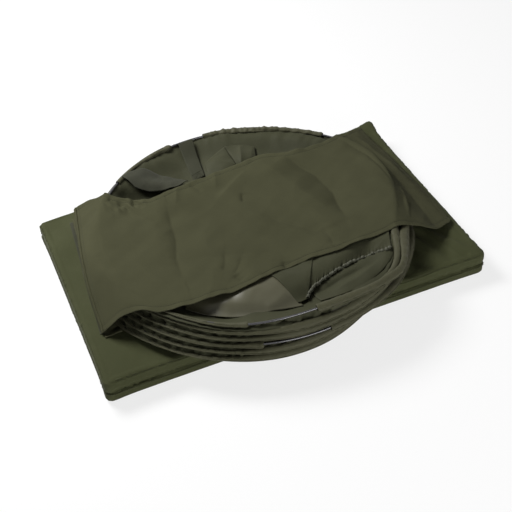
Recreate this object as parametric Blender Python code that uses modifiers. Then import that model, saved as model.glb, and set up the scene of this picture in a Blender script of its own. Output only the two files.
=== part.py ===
"""Folded unhooking mat: a padded ground mat folded in half, with a coiled pop-up wall under a wide flap.

Units are metres, +Z is up. The origin is the middle of the mat's ground face. +X runs along the long side
of the folded mat, +Y from the open long edge to the folded one, where the two halves join.
"""

import math

import bmesh
import bpy
from mathutils import Matrix, Vector

# Folded mat
MAT_LENGTH = 0.706
MAT_DEPTH = 0.440
HALF_THICKNESS = 0.0232
HALVES_GAP = 0.0004
MAT_CORNER_RADIUS = 0.011
MAT_CROWN = 0.0040
CROWN_RING_SHARES = (0.08, 0.22, 0.45, 0.70, 0.90)
PANEL_EDGE_RADIUS = 0.0040
PANEL_SKIRT = 0.0045
PANEL_CLOTH = 0.0008
FOAM_EDGE_RADIUS = 0.0030
FOLD_AXIS_OUT = 0.0019
FIT_GAP = 0.0003

# Pop-up hoops: two closed spring rings, each coiled to three turns
HOOP_TURNS = 3
COIL_RADIUS = 0.281
# The coil's first turn lies between the flap's seam and the tapes, clear of both
COIL_SEAM_CLEARANCE = 0.009
COIL_TAPE_CLEARANCE = 0.0535
COIL_CENTRE_Y = -0.014
COIL_SHIFT_X_PER_TURN = 0.0058
COIL_SHIFT_Y_PER_TURN = 0.0022
COIL_TAPER_PER_TURN = 0.0014
TURN_GAP = 0.0008
# At the lower right the upper turns are pressed in, most at the second of three angles
COIL_DENT = 0.048
DENT_FROM_ANGLE = math.radians(-58)
DENT_DEEPEST_ANGLE = math.radians(-30)
DENT_TO_ANGLE = math.radians(28)
COIL_START_ANGLE = math.radians(15)
RETURN_TURN_SHARE = 0.26
RETURN_MARGIN_SHARE = 0.09
RETURN_CLEARANCE = 0.0056
ROD_RADIUS = 0.0020
SLEEVE_RADIUS = 0.0042
SLEEVE_WALL = 0.0017
FERRULE_RADIUS = 0.0037
FERRULE_WALL = 0.0012
FERRULE_LENGTH = 0.034
POINTS_PER_TURN = 24

# Places round the coil, in degrees on the top turn of a hoop, where the sleeve is open and the rod shows
UPPER_OPEN_STRETCHES = ((-331, -322), (-270, -255), (-225, -205), (-117, -91))
LOWER_OPEN_STRETCHES = ((-111, -88),)
# Hidden places under the flap, on the middle turn, where a ferrule joins the two rod ends
FERRULE_OPEN_STRETCH = (-192, -180)

# Wall cloth bunched inside the coil
WALL_CLOTH = 0.0009
WALL_FOLD_HEIGHT = 0.0045
WALL_MIDDLE_RISE = 0.0292
WALL_RING_SHARES = (1.0, 0.93, 0.85, 0.75, 0.62, 0.46, 0.24)
# Folds round the middle: how many, their lead in radians, and their share of the fold height
WALL_FOLD_SHARES = ((5, 0.7, 1.0), (8, 2.1, 0.6))
RIM_FALL_SHARE = 0.80
SKIRT_DRAW_IN = 0.008
SKIRT_PLEAT_SHARE = 0.6
SKIRT_CLEARANCE = 0.0005
SKIRT_DROP = 0.004
LAID_CLEARANCE = 0.0007
WEBBING_THICKNESS = 0.0016
LINER_THICKNESS = 0.0009
PATCH_THICKNESS = 0.0013
ELASTIC_RADIUS = 0.0016
ELASTIC_END_SHARES = ((0.20, -0.76), (0.73, -0.56))
ELASTIC_RUNS = 6
# Corners of the pieces that lie on the wall cloth, from its middle, in shares of half its width and depth
LINER_CORNER_SHARES = ((-0.50, -0.56), (-0.04, -0.76), (-0.02, -0.40), (-0.48, -0.34))
LINER_BULGE = 0.0060
FOLDED_CORNER_SHARES = ((0.03, -0.74), (0.10, -0.74), (0.20, -0.40), (0.02, -0.40))
FOLDED_CORNER_BULGE = 0.0040
COVER_CORNER_SHARES = ((0.21, -0.70), (0.73, -0.50), (0.76, -0.30), (0.27, -0.42))
COVER_BULGE = 0.0070
PATCH_CORNER_SHARES = ((-0.36, 0.61), (-0.14, 0.66), (-0.37, 0.83), (-0.48, 0.77))
STRAP_CORNER_SHARES = ((-0.10, 0.64), (0.00, 0.64), (-0.03, 0.925), (-0.13, 0.925))
TAB_CORNER_SHARES = ((0.05, 0.64), (0.26, 0.66), (0.28, 0.84), (0.12, 0.84))
TAB_BULGE = 0.0050
LAID_COLUMNS = 8
LAID_ROWS = 6

# Retaining flap, sewn down beside the left edge, held by hook tape at the right
FLAP_WIDTH = 0.300
# Along the flap, as shares of its length, where its near and far edges run, as shares of its width
FLAP_EDGE_SHARES = (
    (0.00, -0.38, 0.64),
    (0.12, -0.56, 0.58),
    (0.25, -0.60, 0.44),
    (0.38, -0.55, 0.46),
    (0.55, -0.50, 0.49),
    (0.72, -0.48, 0.49),
    (0.88, -0.49, 0.47),
    (1.00, -0.35, 0.63),
)
FLAP_CLOTH = 0.0008
FLAP_SEAM_INSET = 0.028
FLAP_SKEW = 0.040
FLAP_END_INSET = 0.0125
FLAP_FLANGE = 0.032
FLAP_SEAT_CLEARANCE = 0.0009
FLAP_LIFT = 0.0040
FLAP_LIFT_EASE_SHARE = 0.03
FLAP_SKEW_EASE_SHARE = 0.15
# Between the turns that hold it up, the flap sags towards the coil's middle
FLAP_SAG = 0.0070
FLAP_SAG_REACH_SHARE = 0.96
FLAP_FOLD_HEIGHT = 0.0055
FLAP_FOLD_WIDTH_SHARE = 0.026
FLAP_END_EASE_SHARE = 0.06
FLAP_CROWD_SHARE = 0.26
FLAP_FLANGE_INSET = 0.0010
FLAP_COLUMNS = 40
FLAP_ROWS = 11
# Main folds of the flap: start and end as shares of its length and width, then share of the height,
# below zero for a valley
FLAP_FOLD_SHARES = (
    (0.58, 0.91, 0.71, 0.18, -1.0),
    (0.51, 0.44, 0.64, 0.04, -0.7),
    (0.23, 0.82, 0.22, 0.24, 0.5),
    (0.02, 0.35, 0.16, 0.10, 0.6),
    (0.83, 0.88, 0.78, 0.00, 0.6),
    (0.52, 0.90, 0.38, 0.66, -0.5),
    (0.13, 0.97, 0.25, 0.62, 0.4),
    (0.35, 0.30, 0.35, 0.02, -0.4),
    (0.71, 0.43, 0.79, 0.12, 0.4),
)
TAPE_SEAT_GAP = 0.0005
SEAM_TAPE_WIDTH = 0.021
SEAM_TAPE_THICKNESS = 0.0008
HOOK_TAPE_WIDTH = 0.025
HOOK_TAPE_INSET = 0.004
HOOK_TAPE_THICKNESS = 0.0010
LOOP_TAPE_THICKNESS = 0.0010
STRIP_COLUMNS = 4
STRIP_ROWS = 16

MATERIALS = {
    "olive_nylon": ((0.045, 0.048, 0.030), 0.55, 0.0),
    "dark_nylon": ((0.032, 0.034, 0.022), 0.60, 0.0),
    "ground_cloth": ((0.022, 0.023, 0.017), 0.70, 0.0),
    "coated_liner": ((0.060, 0.060, 0.042), 0.22, 0.0),
    "foam": ((0.120, 0.120, 0.115), 0.95, 0.0),
    "webbing": ((0.028, 0.030, 0.022), 0.80, 0.0),
    "loop_tape": ((0.040, 0.041, 0.035), 0.95, 0.0),
    "spring_steel": ((0.012, 0.012, 0.013), 0.30, 0.7),
    "crimp_steel": ((0.450, 0.450, 0.450), 0.35, 1.0),
}


# Derived heights and edges
HALF_LENGTH = MAT_LENGTH / 2
HALF_DEPTH = MAT_DEPTH / 2
MAT_TOP = 2 * HALF_THICKNESS + HALVES_GAP
UPPER_BASE = HALF_THICKNESS + HALVES_GAP
FOLD_AXIS_Y = HALF_DEPTH + FOLD_AXIS_OUT
FOLD_AXIS_Z = HALF_THICKNESS + HALVES_GAP / 2
FLAP_AXIS_X = FLAP_SEAM_INSET - HALF_LENGTH
FLAP_END_X = HALF_LENGTH - FLAP_END_INSET
TAPE_LEFT_X = FLAP_END_X - HOOK_TAPE_INSET - HOOK_TAPE_WIDTH
COIL_LEFT_X = FLAP_AXIS_X + COIL_SEAM_CLEARANCE
COIL_RIGHT_X = TAPE_LEFT_X - COIL_TAPE_CLEARANCE
COIL_HALF_WIDTH = (COIL_RIGHT_X - COIL_LEFT_X) / 2
COIL_CENTRE_X = (COIL_RIGHT_X + COIL_LEFT_X) / 2
COIL_OVAL = COIL_HALF_WIDTH - COIL_RADIUS
TURN_RISE = 2 * SLEEVE_RADIUS + TURN_GAP
RETURN_STEP_OUT = 2 * SLEEVE_RADIUS + RETURN_CLEARANCE
WALL_MIDDLE_HEIGHT = MAT_TOP + WALL_MIDDLE_RISE
SEAM_TAPE_RISE = TAPE_SEAT_GAP + SEAM_TAPE_THICKNESS
FLAP_SIDE_SHARE = FLAP_WIDTH / (FLAP_END_X - FLAP_AXIS_X)
# How far a rounded panel edge has drawn in halfway round
EDGE_DRAWN_IN = PANEL_EDGE_RADIUS * (1 - math.sqrt(0.5))


def start_clean():
    """Removes whatever the file opened with."""
    for old in list(bpy.data.objects):
        bpy.data.objects.remove(old, do_unlink=True)


def new_collection(name):
    """A collection linked to the scene."""
    made = bpy.data.collections.new(name)
    bpy.context.scene.collection.children.link(made)
    return made


def new_material(name):
    """A Principled material with the part's colour, roughness and metallic value."""
    colour, roughness, metallic = MATERIALS[name]
    made = bpy.data.materials.new(name)
    made.use_nodes = True
    shader = made.node_tree.nodes["Principled BSDF"]
    shader.inputs["Base Color"].default_value = (*colour, 1.0)
    shader.inputs["Roughness"].default_value = roughness
    shader.inputs["Metallic"].default_value = metallic
    return made


def smooth(share):
    """A share from 0 to 1, eased at both ends."""
    held = min(max(share, 0.0), 1.0)
    return held * held * (3 - 2 * held)


def mix(low, high, share):
    """The value a share of the way from low to high."""
    return low + (high - low) * share


def crown(share):
    """How far the mat's top stands above its edge, at a share of the way in from the edge."""
    outward = 1 - min(max(share, 0.0), 1.0)
    return MAT_CROWN * (1 - outward * outward)


def crown_at(x, y):
    """How far the mat's top stands above its edge at a point, zero outside the mat."""
    inset = min(HALF_LENGTH - abs(x), HALF_DEPTH - abs(y))
    return crown((inset - PANEL_EDGE_RADIUS) / (HALF_DEPTH - PANEL_EDGE_RADIUS))


def mat_top_at(x, y):
    """Height of the upper half's top panel at a point."""
    return MAT_TOP + crown_at(x, y)


# The flap turns on a line just above the tape beside its seam
FLAP_AXIS_Z = mat_top_at(FLAP_AXIS_X, 0.0) + SEAM_TAPE_RISE + FIT_GAP + FLAP_CLOTH / 2


class Builder:
    """Adds named objects to one collection, each with its material."""

    def __init__(self, collection):
        self.collection = collection
        self.materials = {name: new_material(name) for name in MATERIALS}
        self.carrier = None

    def carry_on(self, name, place, parent=None):
        """An empty on a moving body's axis, which carries the pieces added from here on."""
        axis = bpy.data.objects.new(name, None)
        self.collection.objects.link(axis)
        if parent is None:
            axis.location = place
        axis.parent = parent
        self.carrier = (axis, Matrix.Translation(place).inverted())
        return axis

    def add(self, name, data, material):
        """One object for one sub-part, under the empty of the body that it moves with."""
        made = bpy.data.objects.new(name, data)
        data.materials.append(self.materials[material])
        self.collection.objects.link(made)
        if self.carrier is not None:
            made.parent, made.matrix_parent_inverse = self.carrier
        return made

    def mesh(self, name, bm, material):
        """An object from a finished bmesh, shaded smooth."""
        bmesh.ops.recalc_face_normals(bm, faces=bm.faces)
        data = bpy.data.meshes.new(name)
        bm.to_mesh(data)
        bm.free()
        data.shade_smooth()
        return self.add(name, data, material)

    def thicken(self, made, wall):
        """Gives an open surface its cloth thickness, inwards."""
        solid = made.modifiers.new("cloth", "SOLIDIFY")
        solid.thickness = wall
        solid.offset = -1.0
        solid.use_even_offset = False
        return made

    def grid(self, name, columns, rows, place, wall, material):
        """A sheet: a unit grid whose points go where place(u, v) says, given a thickness."""
        bm = bmesh.new()
        bmesh.ops.create_grid(bm, x_segments=columns, y_segments=rows, size=0.5)
        for vert in bm.verts:
            vert.co = place(vert.co.x + 0.5, vert.co.y + 0.5)
        made = self.mesh(name, bm, material)
        return self.thicken(made, wall)

    def loft(self, name, rings, material, close_last=True, close_first=False):
        """A skin through rings of equal point counts, with flat ends where asked."""
        bm = bmesh.new()
        loops = [[bm.verts.new(point) for point in ring] for ring in rings]
        count = len(loops[0])
        for low, high in zip(loops, loops[1:]):
            for here in range(count):
                after = (here + 1) % count
                bm.faces.new((low[here], low[after], high[after], high[here]))
        if close_last:
            bm.faces.new(loops[-1])
        if close_first:
            bm.faces.new(loops[0])
        return self.mesh(name, bm, material)

    def tube(self, name, points, radius, material, resolution=1, capped=True):
        """A round tube along points, as a curve with a bevel."""
        data = bpy.data.curves.new(name, "CURVE")
        data.dimensions = "3D"
        data.bevel_depth = radius
        data.bevel_resolution = resolution
        data.use_fill_caps = capped
        line = data.splines.new("POLY")
        line.points.add(len(points) - 1)
        for spot, point in zip(line.points, points):
            spot.co = (*point, 1.0)
        return self.add(name, data, material)


def rounded_outline(half_x, half_y, radius, arc_steps=3, side_steps=4):
    """Points round a rectangle with rounded corners, counter-clockwise from the right side."""
    points = []
    corners = ((1, 1, 0), (-1, 1, 90), (-1, -1, 180), (1, -1, 270))
    for sign_x, sign_y, first in corners:
        middle = Vector((sign_x * (half_x - radius), sign_y * (half_y - radius)))
        for step in range(arc_steps + 1):
            turn = math.radians(first + 90 * step / arc_steps)
            points.append(middle + radius * Vector((math.cos(turn), math.sin(turn))))
    spread = []
    for here, after in zip(points, points[1:] + points[:1]):
        spread.append(here)
        if (after - here).length > 2 * radius:
            for step in range(1, side_steps):
                spread.append(here.lerp(after, step / side_steps))
    return [(point.x, point.y) for point in spread]


def mat_ring(inset, z):
    """One level ring of a mat panel or foam slab, inset from the mat's outline."""
    radius = max(MAT_CORNER_RADIUS - inset, MAT_CORNER_RADIUS / 4)
    outline = rounded_outline(HALF_LENGTH - inset, HALF_DEPTH - inset, radius)
    return [Vector((x, y, z)) for x, y in outline]


def face_rings(z, crowned):
    """Rings over the face of a panel or slab, from its rounded edge to its middle."""
    shares = CROWN_RING_SHARES if crowned else CROWN_RING_SHARES[-1:]
    rings = []
    for share in shares:
        rise = crown(share) if crowned else 0.0
        rings.append(mat_ring(mix(PANEL_EDGE_RADIUS, HALF_DEPTH, share), z + rise))
    return rings


def panel_rings(edge_z, facing, crowned):
    """Rings of one mat panel, from the seam on its side over its rounded edge to its middle."""
    bend = PANEL_EDGE_RADIUS
    profile = ((0.0, PANEL_SKIRT), (0.0, bend), (EDGE_DRAWN_IN, EDGE_DRAWN_IN), (bend, 0.0))
    rings = [mat_ring(inset, edge_z - facing * drop) for inset, drop in profile]
    return rings + face_rings(edge_z, crowned)


def build_half(build, prefix, base, face_names, crowned):
    """One padded half: foam inside a face panel, an inner panel and the gusset round its side."""
    top = base + HALF_THICKNESS
    lower_name, upper_name = face_names
    lower_material = "dark_nylon" if crowned else "ground_cloth"
    under = build.loft(lower_name, panel_rings(base, -1, False), lower_material)
    build.thicken(under, PANEL_CLOTH)
    over = build.loft(upper_name, panel_rings(top, 1, crowned), "olive_nylon")
    build.thicken(over, PANEL_CLOTH)

    low = base + PANEL_SKIRT + FIT_GAP
    high = top - PANEL_SKIRT - FIT_GAP
    sides = [mat_ring(0.0, z) for z in (low, high)]
    gusset = build.loft(prefix + "_gusset", sides, "olive_nylon", close_last=False)
    build.thicken(gusset, PANEL_CLOTH)

    inset = PANEL_CLOTH + FIT_GAP
    low, high, edge = base + inset, top - inset, FOAM_EDGE_RADIUS
    rings = [mat_ring(inset + edge, low), mat_ring(inset, low + edge)]
    rings += [mat_ring(inset, high - edge), mat_ring(inset + edge, high)]
    rings += face_rings(high, crowned)
    build.loft(prefix + "_foam", rings, "foam", close_first=True)


def build_fold_piping(build):
    """The piping along the fold that joins the two halves, round the fold's axis."""
    radius = math.hypot(FOLD_AXIS_OUT + EDGE_DRAWN_IN, HALVES_GAP / 2 + EDGE_DRAWN_IN) - FIT_GAP
    reach = HALF_LENGTH - MAT_CORNER_RADIUS
    ends = [Vector((side * reach, FOLD_AXIS_Y, FOLD_AXIS_Z)) for side in (-1, 1)]
    build.tube("fold_piping", ends, radius, "dark_nylon", resolution=2)


class Hoop:
    """Centreline of one spring ring coiled to three turns, closed by a return outside the coil."""

    def __init__(self, first_level, start_angle):
        self.first_level = first_level
        self.start_angle = start_angle
        start = self.flat_point(0.0)
        seat = mat_top_at(start.x, start.y) + FIT_GAP + SLEEVE_RADIUS
        self.base = seat + first_level * TURN_RISE

    def level(self, turns):
        """Turns climbed at a place, falling back to zero along the return."""
        climb_end = HOOP_TURNS - RETURN_TURN_SHARE
        if turns <= climb_end:
            return turns
        back = smooth((turns - climb_end) / RETURN_TURN_SHARE)
        return climb_end * (1 - back)

    def step_out(self, turns):
        """How far the return stands outside the other turns."""
        window = RETURN_TURN_SHARE + 2 * RETURN_MARGIN_SHARE
        first = HOOP_TURNS - RETURN_TURN_SHARE - RETURN_MARGIN_SHARE
        if turns < RETURN_MARGIN_SHARE:
            turns += HOOP_TURNS
        share = (turns - first) / window
        if share <= 0 or share >= 1:
            return 0.0
        return RETURN_STEP_OUT * math.sin(math.pi * share) ** 2

    def pressed_in(self, turns):
        """How far the turn is pressed in at a place, more on the upper turns."""
        angle = math.remainder(self.start_angle + 2 * math.pi * turns, 2 * math.pi)
        side = smooth((angle - DENT_FROM_ANGLE) / (DENT_DEEPEST_ANGLE - DENT_FROM_ANGLE))
        side *= smooth((DENT_TO_ANGLE - angle) / (DENT_TO_ANGLE - DENT_DEEPEST_ANGLE))
        share = (self.first_level + self.level(turns)) / (2 * HOOP_TURNS)
        return COIL_DENT * side * share * share

    def flat_point(self, turns, inwards=0.0):
        """Plan position at a number of turns, moved towards the middle when asked."""
        angle = self.start_angle + 2 * math.pi * turns
        total = self.first_level + self.level(turns)
        radius = COIL_RADIUS - COIL_TAPER_PER_TURN * total + self.step_out(turns)
        radius -= self.pressed_in(turns) + inwards
        x = COIL_CENTRE_X + COIL_SHIFT_X_PER_TURN * total + (radius + COIL_OVAL) * math.cos(angle)
        y = COIL_CENTRE_Y + COIL_SHIFT_Y_PER_TURN * total + radius * math.sin(angle)
        return Vector((x, y, 0.0))

    def point(self, turns, inwards=0.0):
        """Place of the centreline at a number of turns from the start."""
        flat = self.flat_point(turns, inwards)
        flat.z = self.base + TURN_RISE * self.level(turns)
        return flat

    def on_line(self, turns):
        """A place on the straight runs between the hoop's own points, which the rod follows."""
        step = turns * POINTS_PER_TURN
        before = math.floor(step)
        count = HOOP_TURNS * POINTS_PER_TURN
        low = self.point((before % count) / POINTS_PER_TURN)
        high = self.point(((before + 1) % count) / POINTS_PER_TURN)
        return low.lerp(high, step - before)

    def stretch(self, first, last):
        """The hoop's own points between two places, with the two ends."""
        low = math.floor(first * POINTS_PER_TURN) + 1
        high = math.ceil(last * POINTS_PER_TURN)
        places = [first] + [step / POINTS_PER_TURN for step in range(low, high)] + [last]
        return [self.on_line(place) for place in places]

    def turns_at(self, degrees, turn):
        """Turns from the start to an angle, counted on the turn that ends there."""
        ahead = (math.radians(degrees) - self.start_angle) / (2 * math.pi)
        return turn + ahead % 1.0


def sleeve_spans(hoop, open_stretches):
    """Pairs of places between which the sleeve covers the rod, going round from the ferrule."""
    opened = []
    for first, last in open_stretches:
        place = hoop.turns_at(first, HOOP_TURNS - 1)
        opened.append((place, place + (last - first) / 360))
    first, last = FERRULE_OPEN_STRETCH
    place = hoop.turns_at(first, HOOP_TURNS - 2)
    opened.append((place, place + (last - first) / 360))
    opened.sort()
    spans = []
    for here, after in zip(opened, opened[1:] + [opened[0]]):
        end = after[0] if after[0] > here[0] else after[0] + HOOP_TURNS
        spans.append((here[1], end))
    return spans


def build_hoop(build, prefix, hoop, open_stretches):
    """One spring rod, the ferrule that closes it and the sleeve pieces along it."""
    first, last = FERRULE_OPEN_STRETCH
    joint = hoop.turns_at((first + last) / 2, HOOP_TURNS - 2)
    length_per_turn = 2 * math.pi * COIL_RADIUS
    half_slit = FIT_GAP / length_per_turn
    rod = hoop.stretch(joint + half_slit, joint + HOOP_TURNS - half_slit)
    build.tube(prefix + "_hoop_rod", rod, ROD_RADIUS, "spring_steel")

    half_ferrule = FERRULE_LENGTH / 2 / length_per_turn
    crimp = hoop.stretch(joint - half_ferrule, joint + half_ferrule)
    ferrule = build.tube(
        prefix + "_hoop_ferrule", crimp, FERRULE_RADIUS, "crimp_steel", capped=False
    )
    build.thicken(ferrule, FERRULE_WALL)

    for number, (start, end) in enumerate(sleeve_spans(hoop, open_stretches), 1):
        name = f"{prefix}_hoop_sleeve_{number}"
        points = hoop.stretch(start, end)
        sleeve = build.tube(name, points, SLEEVE_RADIUS, "olive_nylon", capped=False)
        build.thicken(sleeve, SLEEVE_WALL)


def least_gap(hoops):
    """Least clear distance between turns that aren't neighbours along one rod, sleeves included."""
    samples = 3 * POINTS_PER_TURN
    count = HOOP_TURNS * samples
    marks = [
        (which, step, hoop.point(step / samples))
        for which, hoop in enumerate(hoops)
        for step in range(count)
    ]
    least = COIL_RADIUS
    for index, (which, step, place) in enumerate(marks):
        for other, far_step, far_place in marks[index + 1 :]:
            apart = abs(step - far_step)
            if which == other and min(apart, count - apart) < samples / 2:
                continue
            least = min(least, (place - far_place).length)
    return least - 2 * SLEEVE_RADIUS


def rim_point(hoop, step, inwards):
    """A point beside a hoop's first turn, on its inner side, falling back level where the turn ends."""
    turns = step / POINTS_PER_TURN
    angle = hoop.start_angle + 2 * math.pi * turns
    flat = hoop.flat_point(turns, inwards)
    flat -= hoop.step_out(turns) * Vector((math.cos(angle), math.sin(angle), 0.0))
    fallen = smooth((turns - RIM_FALL_SHARE) / (1 - RIM_FALL_SHARE))
    flat.z = hoop.base + TURN_RISE * turns * (1 - fallen)
    return flat


class Wall:
    """The wall cloth bunched inside the coil, as a surface that other pieces lie on."""

    def __init__(self, lower, upper):
        self.lower = lower
        self.middle = Vector((COIL_CENTRE_X, COIL_CENTRE_Y, 0.0))
        inwards = SLEEVE_RADIUS + FIT_GAP
        self.rim = [rim_point(upper, step, inwards) for step in range(POINTS_PER_TURN)]
        self.rings = [self.ring(share) for share in WALL_RING_SHARES]

    def ring(self, share):
        """The cloth's points at a share of the way from the middle to the rim."""
        points = []
        for rim in self.rim:
            away = rim.xy - self.middle.xy
            wave = 0.0
            for count, lead, size_share in WALL_FOLD_SHARES:
                wave += size_share * math.cos(count * math.atan2(away.y, away.x) + lead)
            z = mix(WALL_MIDDLE_HEIGHT, rim.z, smooth(share))
            z += WALL_FOLD_HEIGHT * wave * share * (1 - share ** 4)
            points.append(Vector((*self.middle.xy.lerp(rim.xy, share), z)))
        return points

    def height(self, x, y):
        """Height of the cloth's upper side at a point, as its faces have it."""
        away = Vector((x, y)) - self.middle.xy
        lead = (math.atan2(away.y, away.x) - COIL_START_ANGLE) / (2 * math.pi)
        guess = math.floor(lead % 1.0 * POINTS_PER_TURN)
        for step in (guess - 1, guess, guess + 1):
            here = self.rim[step % POINTS_PER_TURN].xy - self.middle.xy
            after = self.rim[(step + 1) % POINTS_PER_TURN].xy - self.middle.xy
            along = here.cross(away) / (here - after).cross(away)
            if 0 <= along <= 1:
                break
        share = min(away.length / here.lerp(after, along).length, 1.0)
        heights = [
            mix(ring[step % POINTS_PER_TURN].z, ring[(step + 1) % POINTS_PER_TURN].z, along)
            for ring in self.rings
        ]
        marks = list(zip(WALL_RING_SHARES, heights))
        for (outer, outer_z), (inner, inner_z) in zip(marks, marks[1:]):
            if share >= inner:
                return mix(inner_z, outer_z, (share - inner) / (outer - inner))
        return heights[-1]

    def plan(self, shares):
        """Plan position at shares of the coil's half width and half depth from its middle."""
        across, along = shares
        return self.middle.xy + Vector((COIL_HALF_WIDTH * across, COIL_RADIUS * along))

    def build(self, build):
        """The bunched sheet and the skirt below it."""
        wall = build.loft("wall_cloth", self.rings, "olive_nylon")
        build.thicken(wall, WALL_CLOTH)
        skirt_rings = []
        for share in (0.0, 0.5, 1.0):
            ring = [self.skirt_point(step, share) for step in range(POINTS_PER_TURN)]
            skirt_rings.append(ring)
        skirt = build.loft("wall_skirt", skirt_rings, "dark_nylon", close_last=False)
        build.thicken(skirt, WALL_CLOTH)

    def skirt_point(self, step, share):
        """A point of the skirt, inside every turn, drawn in towards its hem."""
        turns = step / POINTS_PER_TURN
        angle = COIL_START_ANGLE + 2 * math.pi * turns
        outward = Vector((math.cos(angle), math.sin(angle), 0.0))
        places = [self.lower.flat_point(turns + turn) for turn in range(HOOP_TURNS)]
        places.append(self.rim[step] + outward * (SLEEVE_RADIUS + FIT_GAP))
        reach = min((place - self.middle).dot(outward) for place in places)
        pleat = SKIRT_DRAW_IN * share * (1 + SKIRT_PLEAT_SHARE * math.cos(math.pi * step))
        reach -= SLEEVE_RADIUS + SKIRT_CLEARANCE + pleat
        top = self.rim[step].z - SKIRT_DROP
        hem = MAT_TOP + MAT_CROWN + FIT_GAP
        place = self.middle + outward * reach
        place.z = mix(top, hem, share)
        return place


class Drape:
    """The flap's height: along each line it is drawn tight over the turns it passes."""

    def __init__(self, hoops):
        self.runs = []
        for hoop in hoops:
            count = HOOP_TURNS * POINTS_PER_TURN
            points = [hoop.point(step / POINTS_PER_TURN) for step in range(count)]
            self.runs += list(zip(points, points[1:] + points[:1]))

    def supports(self, y):
        """Upper hull of what holds the flap up along the line at y, from its seam to its end."""
        seat = SLEEVE_RADIUS + FLAP_SEAT_CLEARANCE
        marks = [(FLAP_AXIS_X, FLAP_AXIS_Z), (FLAP_END_X, flap_end_height(y))]
        for here, after in self.runs:
            if (here.y - y) * (after.y - y) > 0 or here.y == after.y:
                continue
            place = here.lerp(after, (y - here.y) / (after.y - here.y))
            for eighth in range(1, 8, 2):
                turn = math.pi * eighth / 8
                marks.append((place.x + seat * math.cos(turn), place.z + seat * math.sin(turn)))
        hull = []
        for mark in sorted(marks):
            while len(hull) > 1 and not turns_down(hull[-2], hull[-1], mark):
                hull.pop()
            hull.append(mark)
        return hull


def height_on(hull, x):
    """Height on an upper hull at x."""
    for (low_x, low_z), (high_x, high_z) in zip(hull, hull[1:]):
        if x <= high_x:
            return mix(low_z, high_z, (x - low_x) / (high_x - low_x))
    return hull[-1][1]


def turns_down(first, middle, last):
    """True where the way from first over middle to last bends downwards."""
    rise = (middle[0] - first[0]) * (last[1] - first[1])
    run = (middle[1] - first[1]) * (last[0] - first[0])
    return rise < run


def flap_end_height(y):
    """Height of the flap's free end, on the hook tape."""
    tapes = TAPE_SEAT_GAP + LOOP_TAPE_THICKNESS + HOOK_TAPE_THICKNESS + FLAP_CLOTH + 2 * FIT_GAP
    return mat_top_at(FLAP_END_X, y) + tapes


def flap_fold(along, across):
    """Height of the flap's main folds at shares of its length and width, none at its two ends."""
    rise = 0.0
    for start_along, start_across, end_along, end_across, size_share in FLAP_FOLD_SHARES:
        run = Vector((end_along - start_along, (end_across - start_across) * FLAP_SIDE_SHARE))
        away = Vector((along - start_along, (across - start_across) * FLAP_SIDE_SHARE))
        share = min(max(away.dot(run) / run.dot(run), 0.0), 1.0)
        distance = (away - run * share).length / FLAP_FOLD_WIDTH_SHARE
        rise += FLAP_FOLD_HEIGHT * size_share * math.exp(-distance * distance)
    ends = smooth(along / FLAP_END_EASE_SHARE) * smooth((1 - along) / FLAP_END_EASE_SHARE)
    return rise * ends


def flap_sag(x, y):
    """How far the flap sags below the tight line, most in the middle of the coil's turns."""
    middle_x = COIL_CENTRE_X + HOOP_TURNS * COIL_SHIFT_X_PER_TURN
    middle_y = COIL_CENTRE_Y + HOOP_TURNS * COIL_SHIFT_Y_PER_TURN
    share = math.hypot(x - middle_x, y - middle_y) / (COIL_RADIUS * FLAP_SAG_REACH_SHARE)
    return FLAP_SAG * max(1 - share * share, 0.0)


def flap_edges(along):
    """Y of the flap's near and far edges at a share of its length."""
    for (low, *low_sides), (high, *high_sides) in zip(FLAP_EDGE_SHARES, FLAP_EDGE_SHARES[1:]):
        if along <= high:
            ease = smooth((along - low) / (high - low))
            return [FLAP_WIDTH * mix(a, b, ease) for a, b in zip(low_sides, high_sides)]
    return [FLAP_WIDTH * side for side in FLAP_EDGE_SHARES[-1][1:]]


def build_flap(build, hoops):
    """The retaining flap, drawn over the coil from its seam to its hook tape."""
    drape = Drape(hoops)

    def place(u, v):
        along = u - FLAP_CROWD_SHARE * math.sin(2 * math.pi * u) / math.pi
        x = mix(FLAP_AXIS_X + FLAP_SKEW * v, FLAP_END_X, along)
        y = mix(*flap_edges(along), v)
        lift = FLAP_LIFT * smooth((along + v * FLAP_SKEW_EASE_SHARE) / FLAP_LIFT_EASE_SHARE)
        lift *= smooth((1 - along) / FLAP_LIFT_EASE_SHARE)
        z = height_on(drape.supports(y), x) + lift - flap_sag(x, y) + flap_fold(along, v)
        return Vector((x + FIT_GAP, y, z + FLAP_CLOTH / 2))

    build.grid("retaining_flap", FLAP_COLUMNS, FLAP_ROWS, place, FLAP_CLOTH, "olive_nylon")


def build_mat_strip(build, name, ends_x, ends_y, base_rise, thick, material):
    """A thin strip of tape or cloth lying on the mat's top panel."""

    def lie(u, v):
        x = mix(*ends_x, u)
        y = mix(*ends_y, v)
        return Vector((x, y, mat_top_at(x, y) + base_rise + thick))

    build.grid(name, STRIP_COLUMNS, STRIP_ROWS, lie, thick, material)


def build_seam_strips(build):
    """The flange under the flap's sewn edge, and the tape beside it."""
    seam = flap_edges(0.0)
    flange_x = (FLAP_AXIS_X + FLAP_FLANGE_INSET, FLAP_AXIS_X + FLAP_FLANGE)
    build_mat_strip(build, "flap_flange", flange_x, seam, TAPE_SEAT_GAP, FLAP_CLOTH, "olive_nylon")
    end_x = FLAP_AXIS_X - FIT_GAP
    tape_x = (end_x - SEAM_TAPE_WIDTH, end_x)
    build_mat_strip(build, "flap_seam_tape", tape_x, seam, TAPE_SEAT_GAP, SEAM_TAPE_THICKNESS, "webbing")


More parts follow.
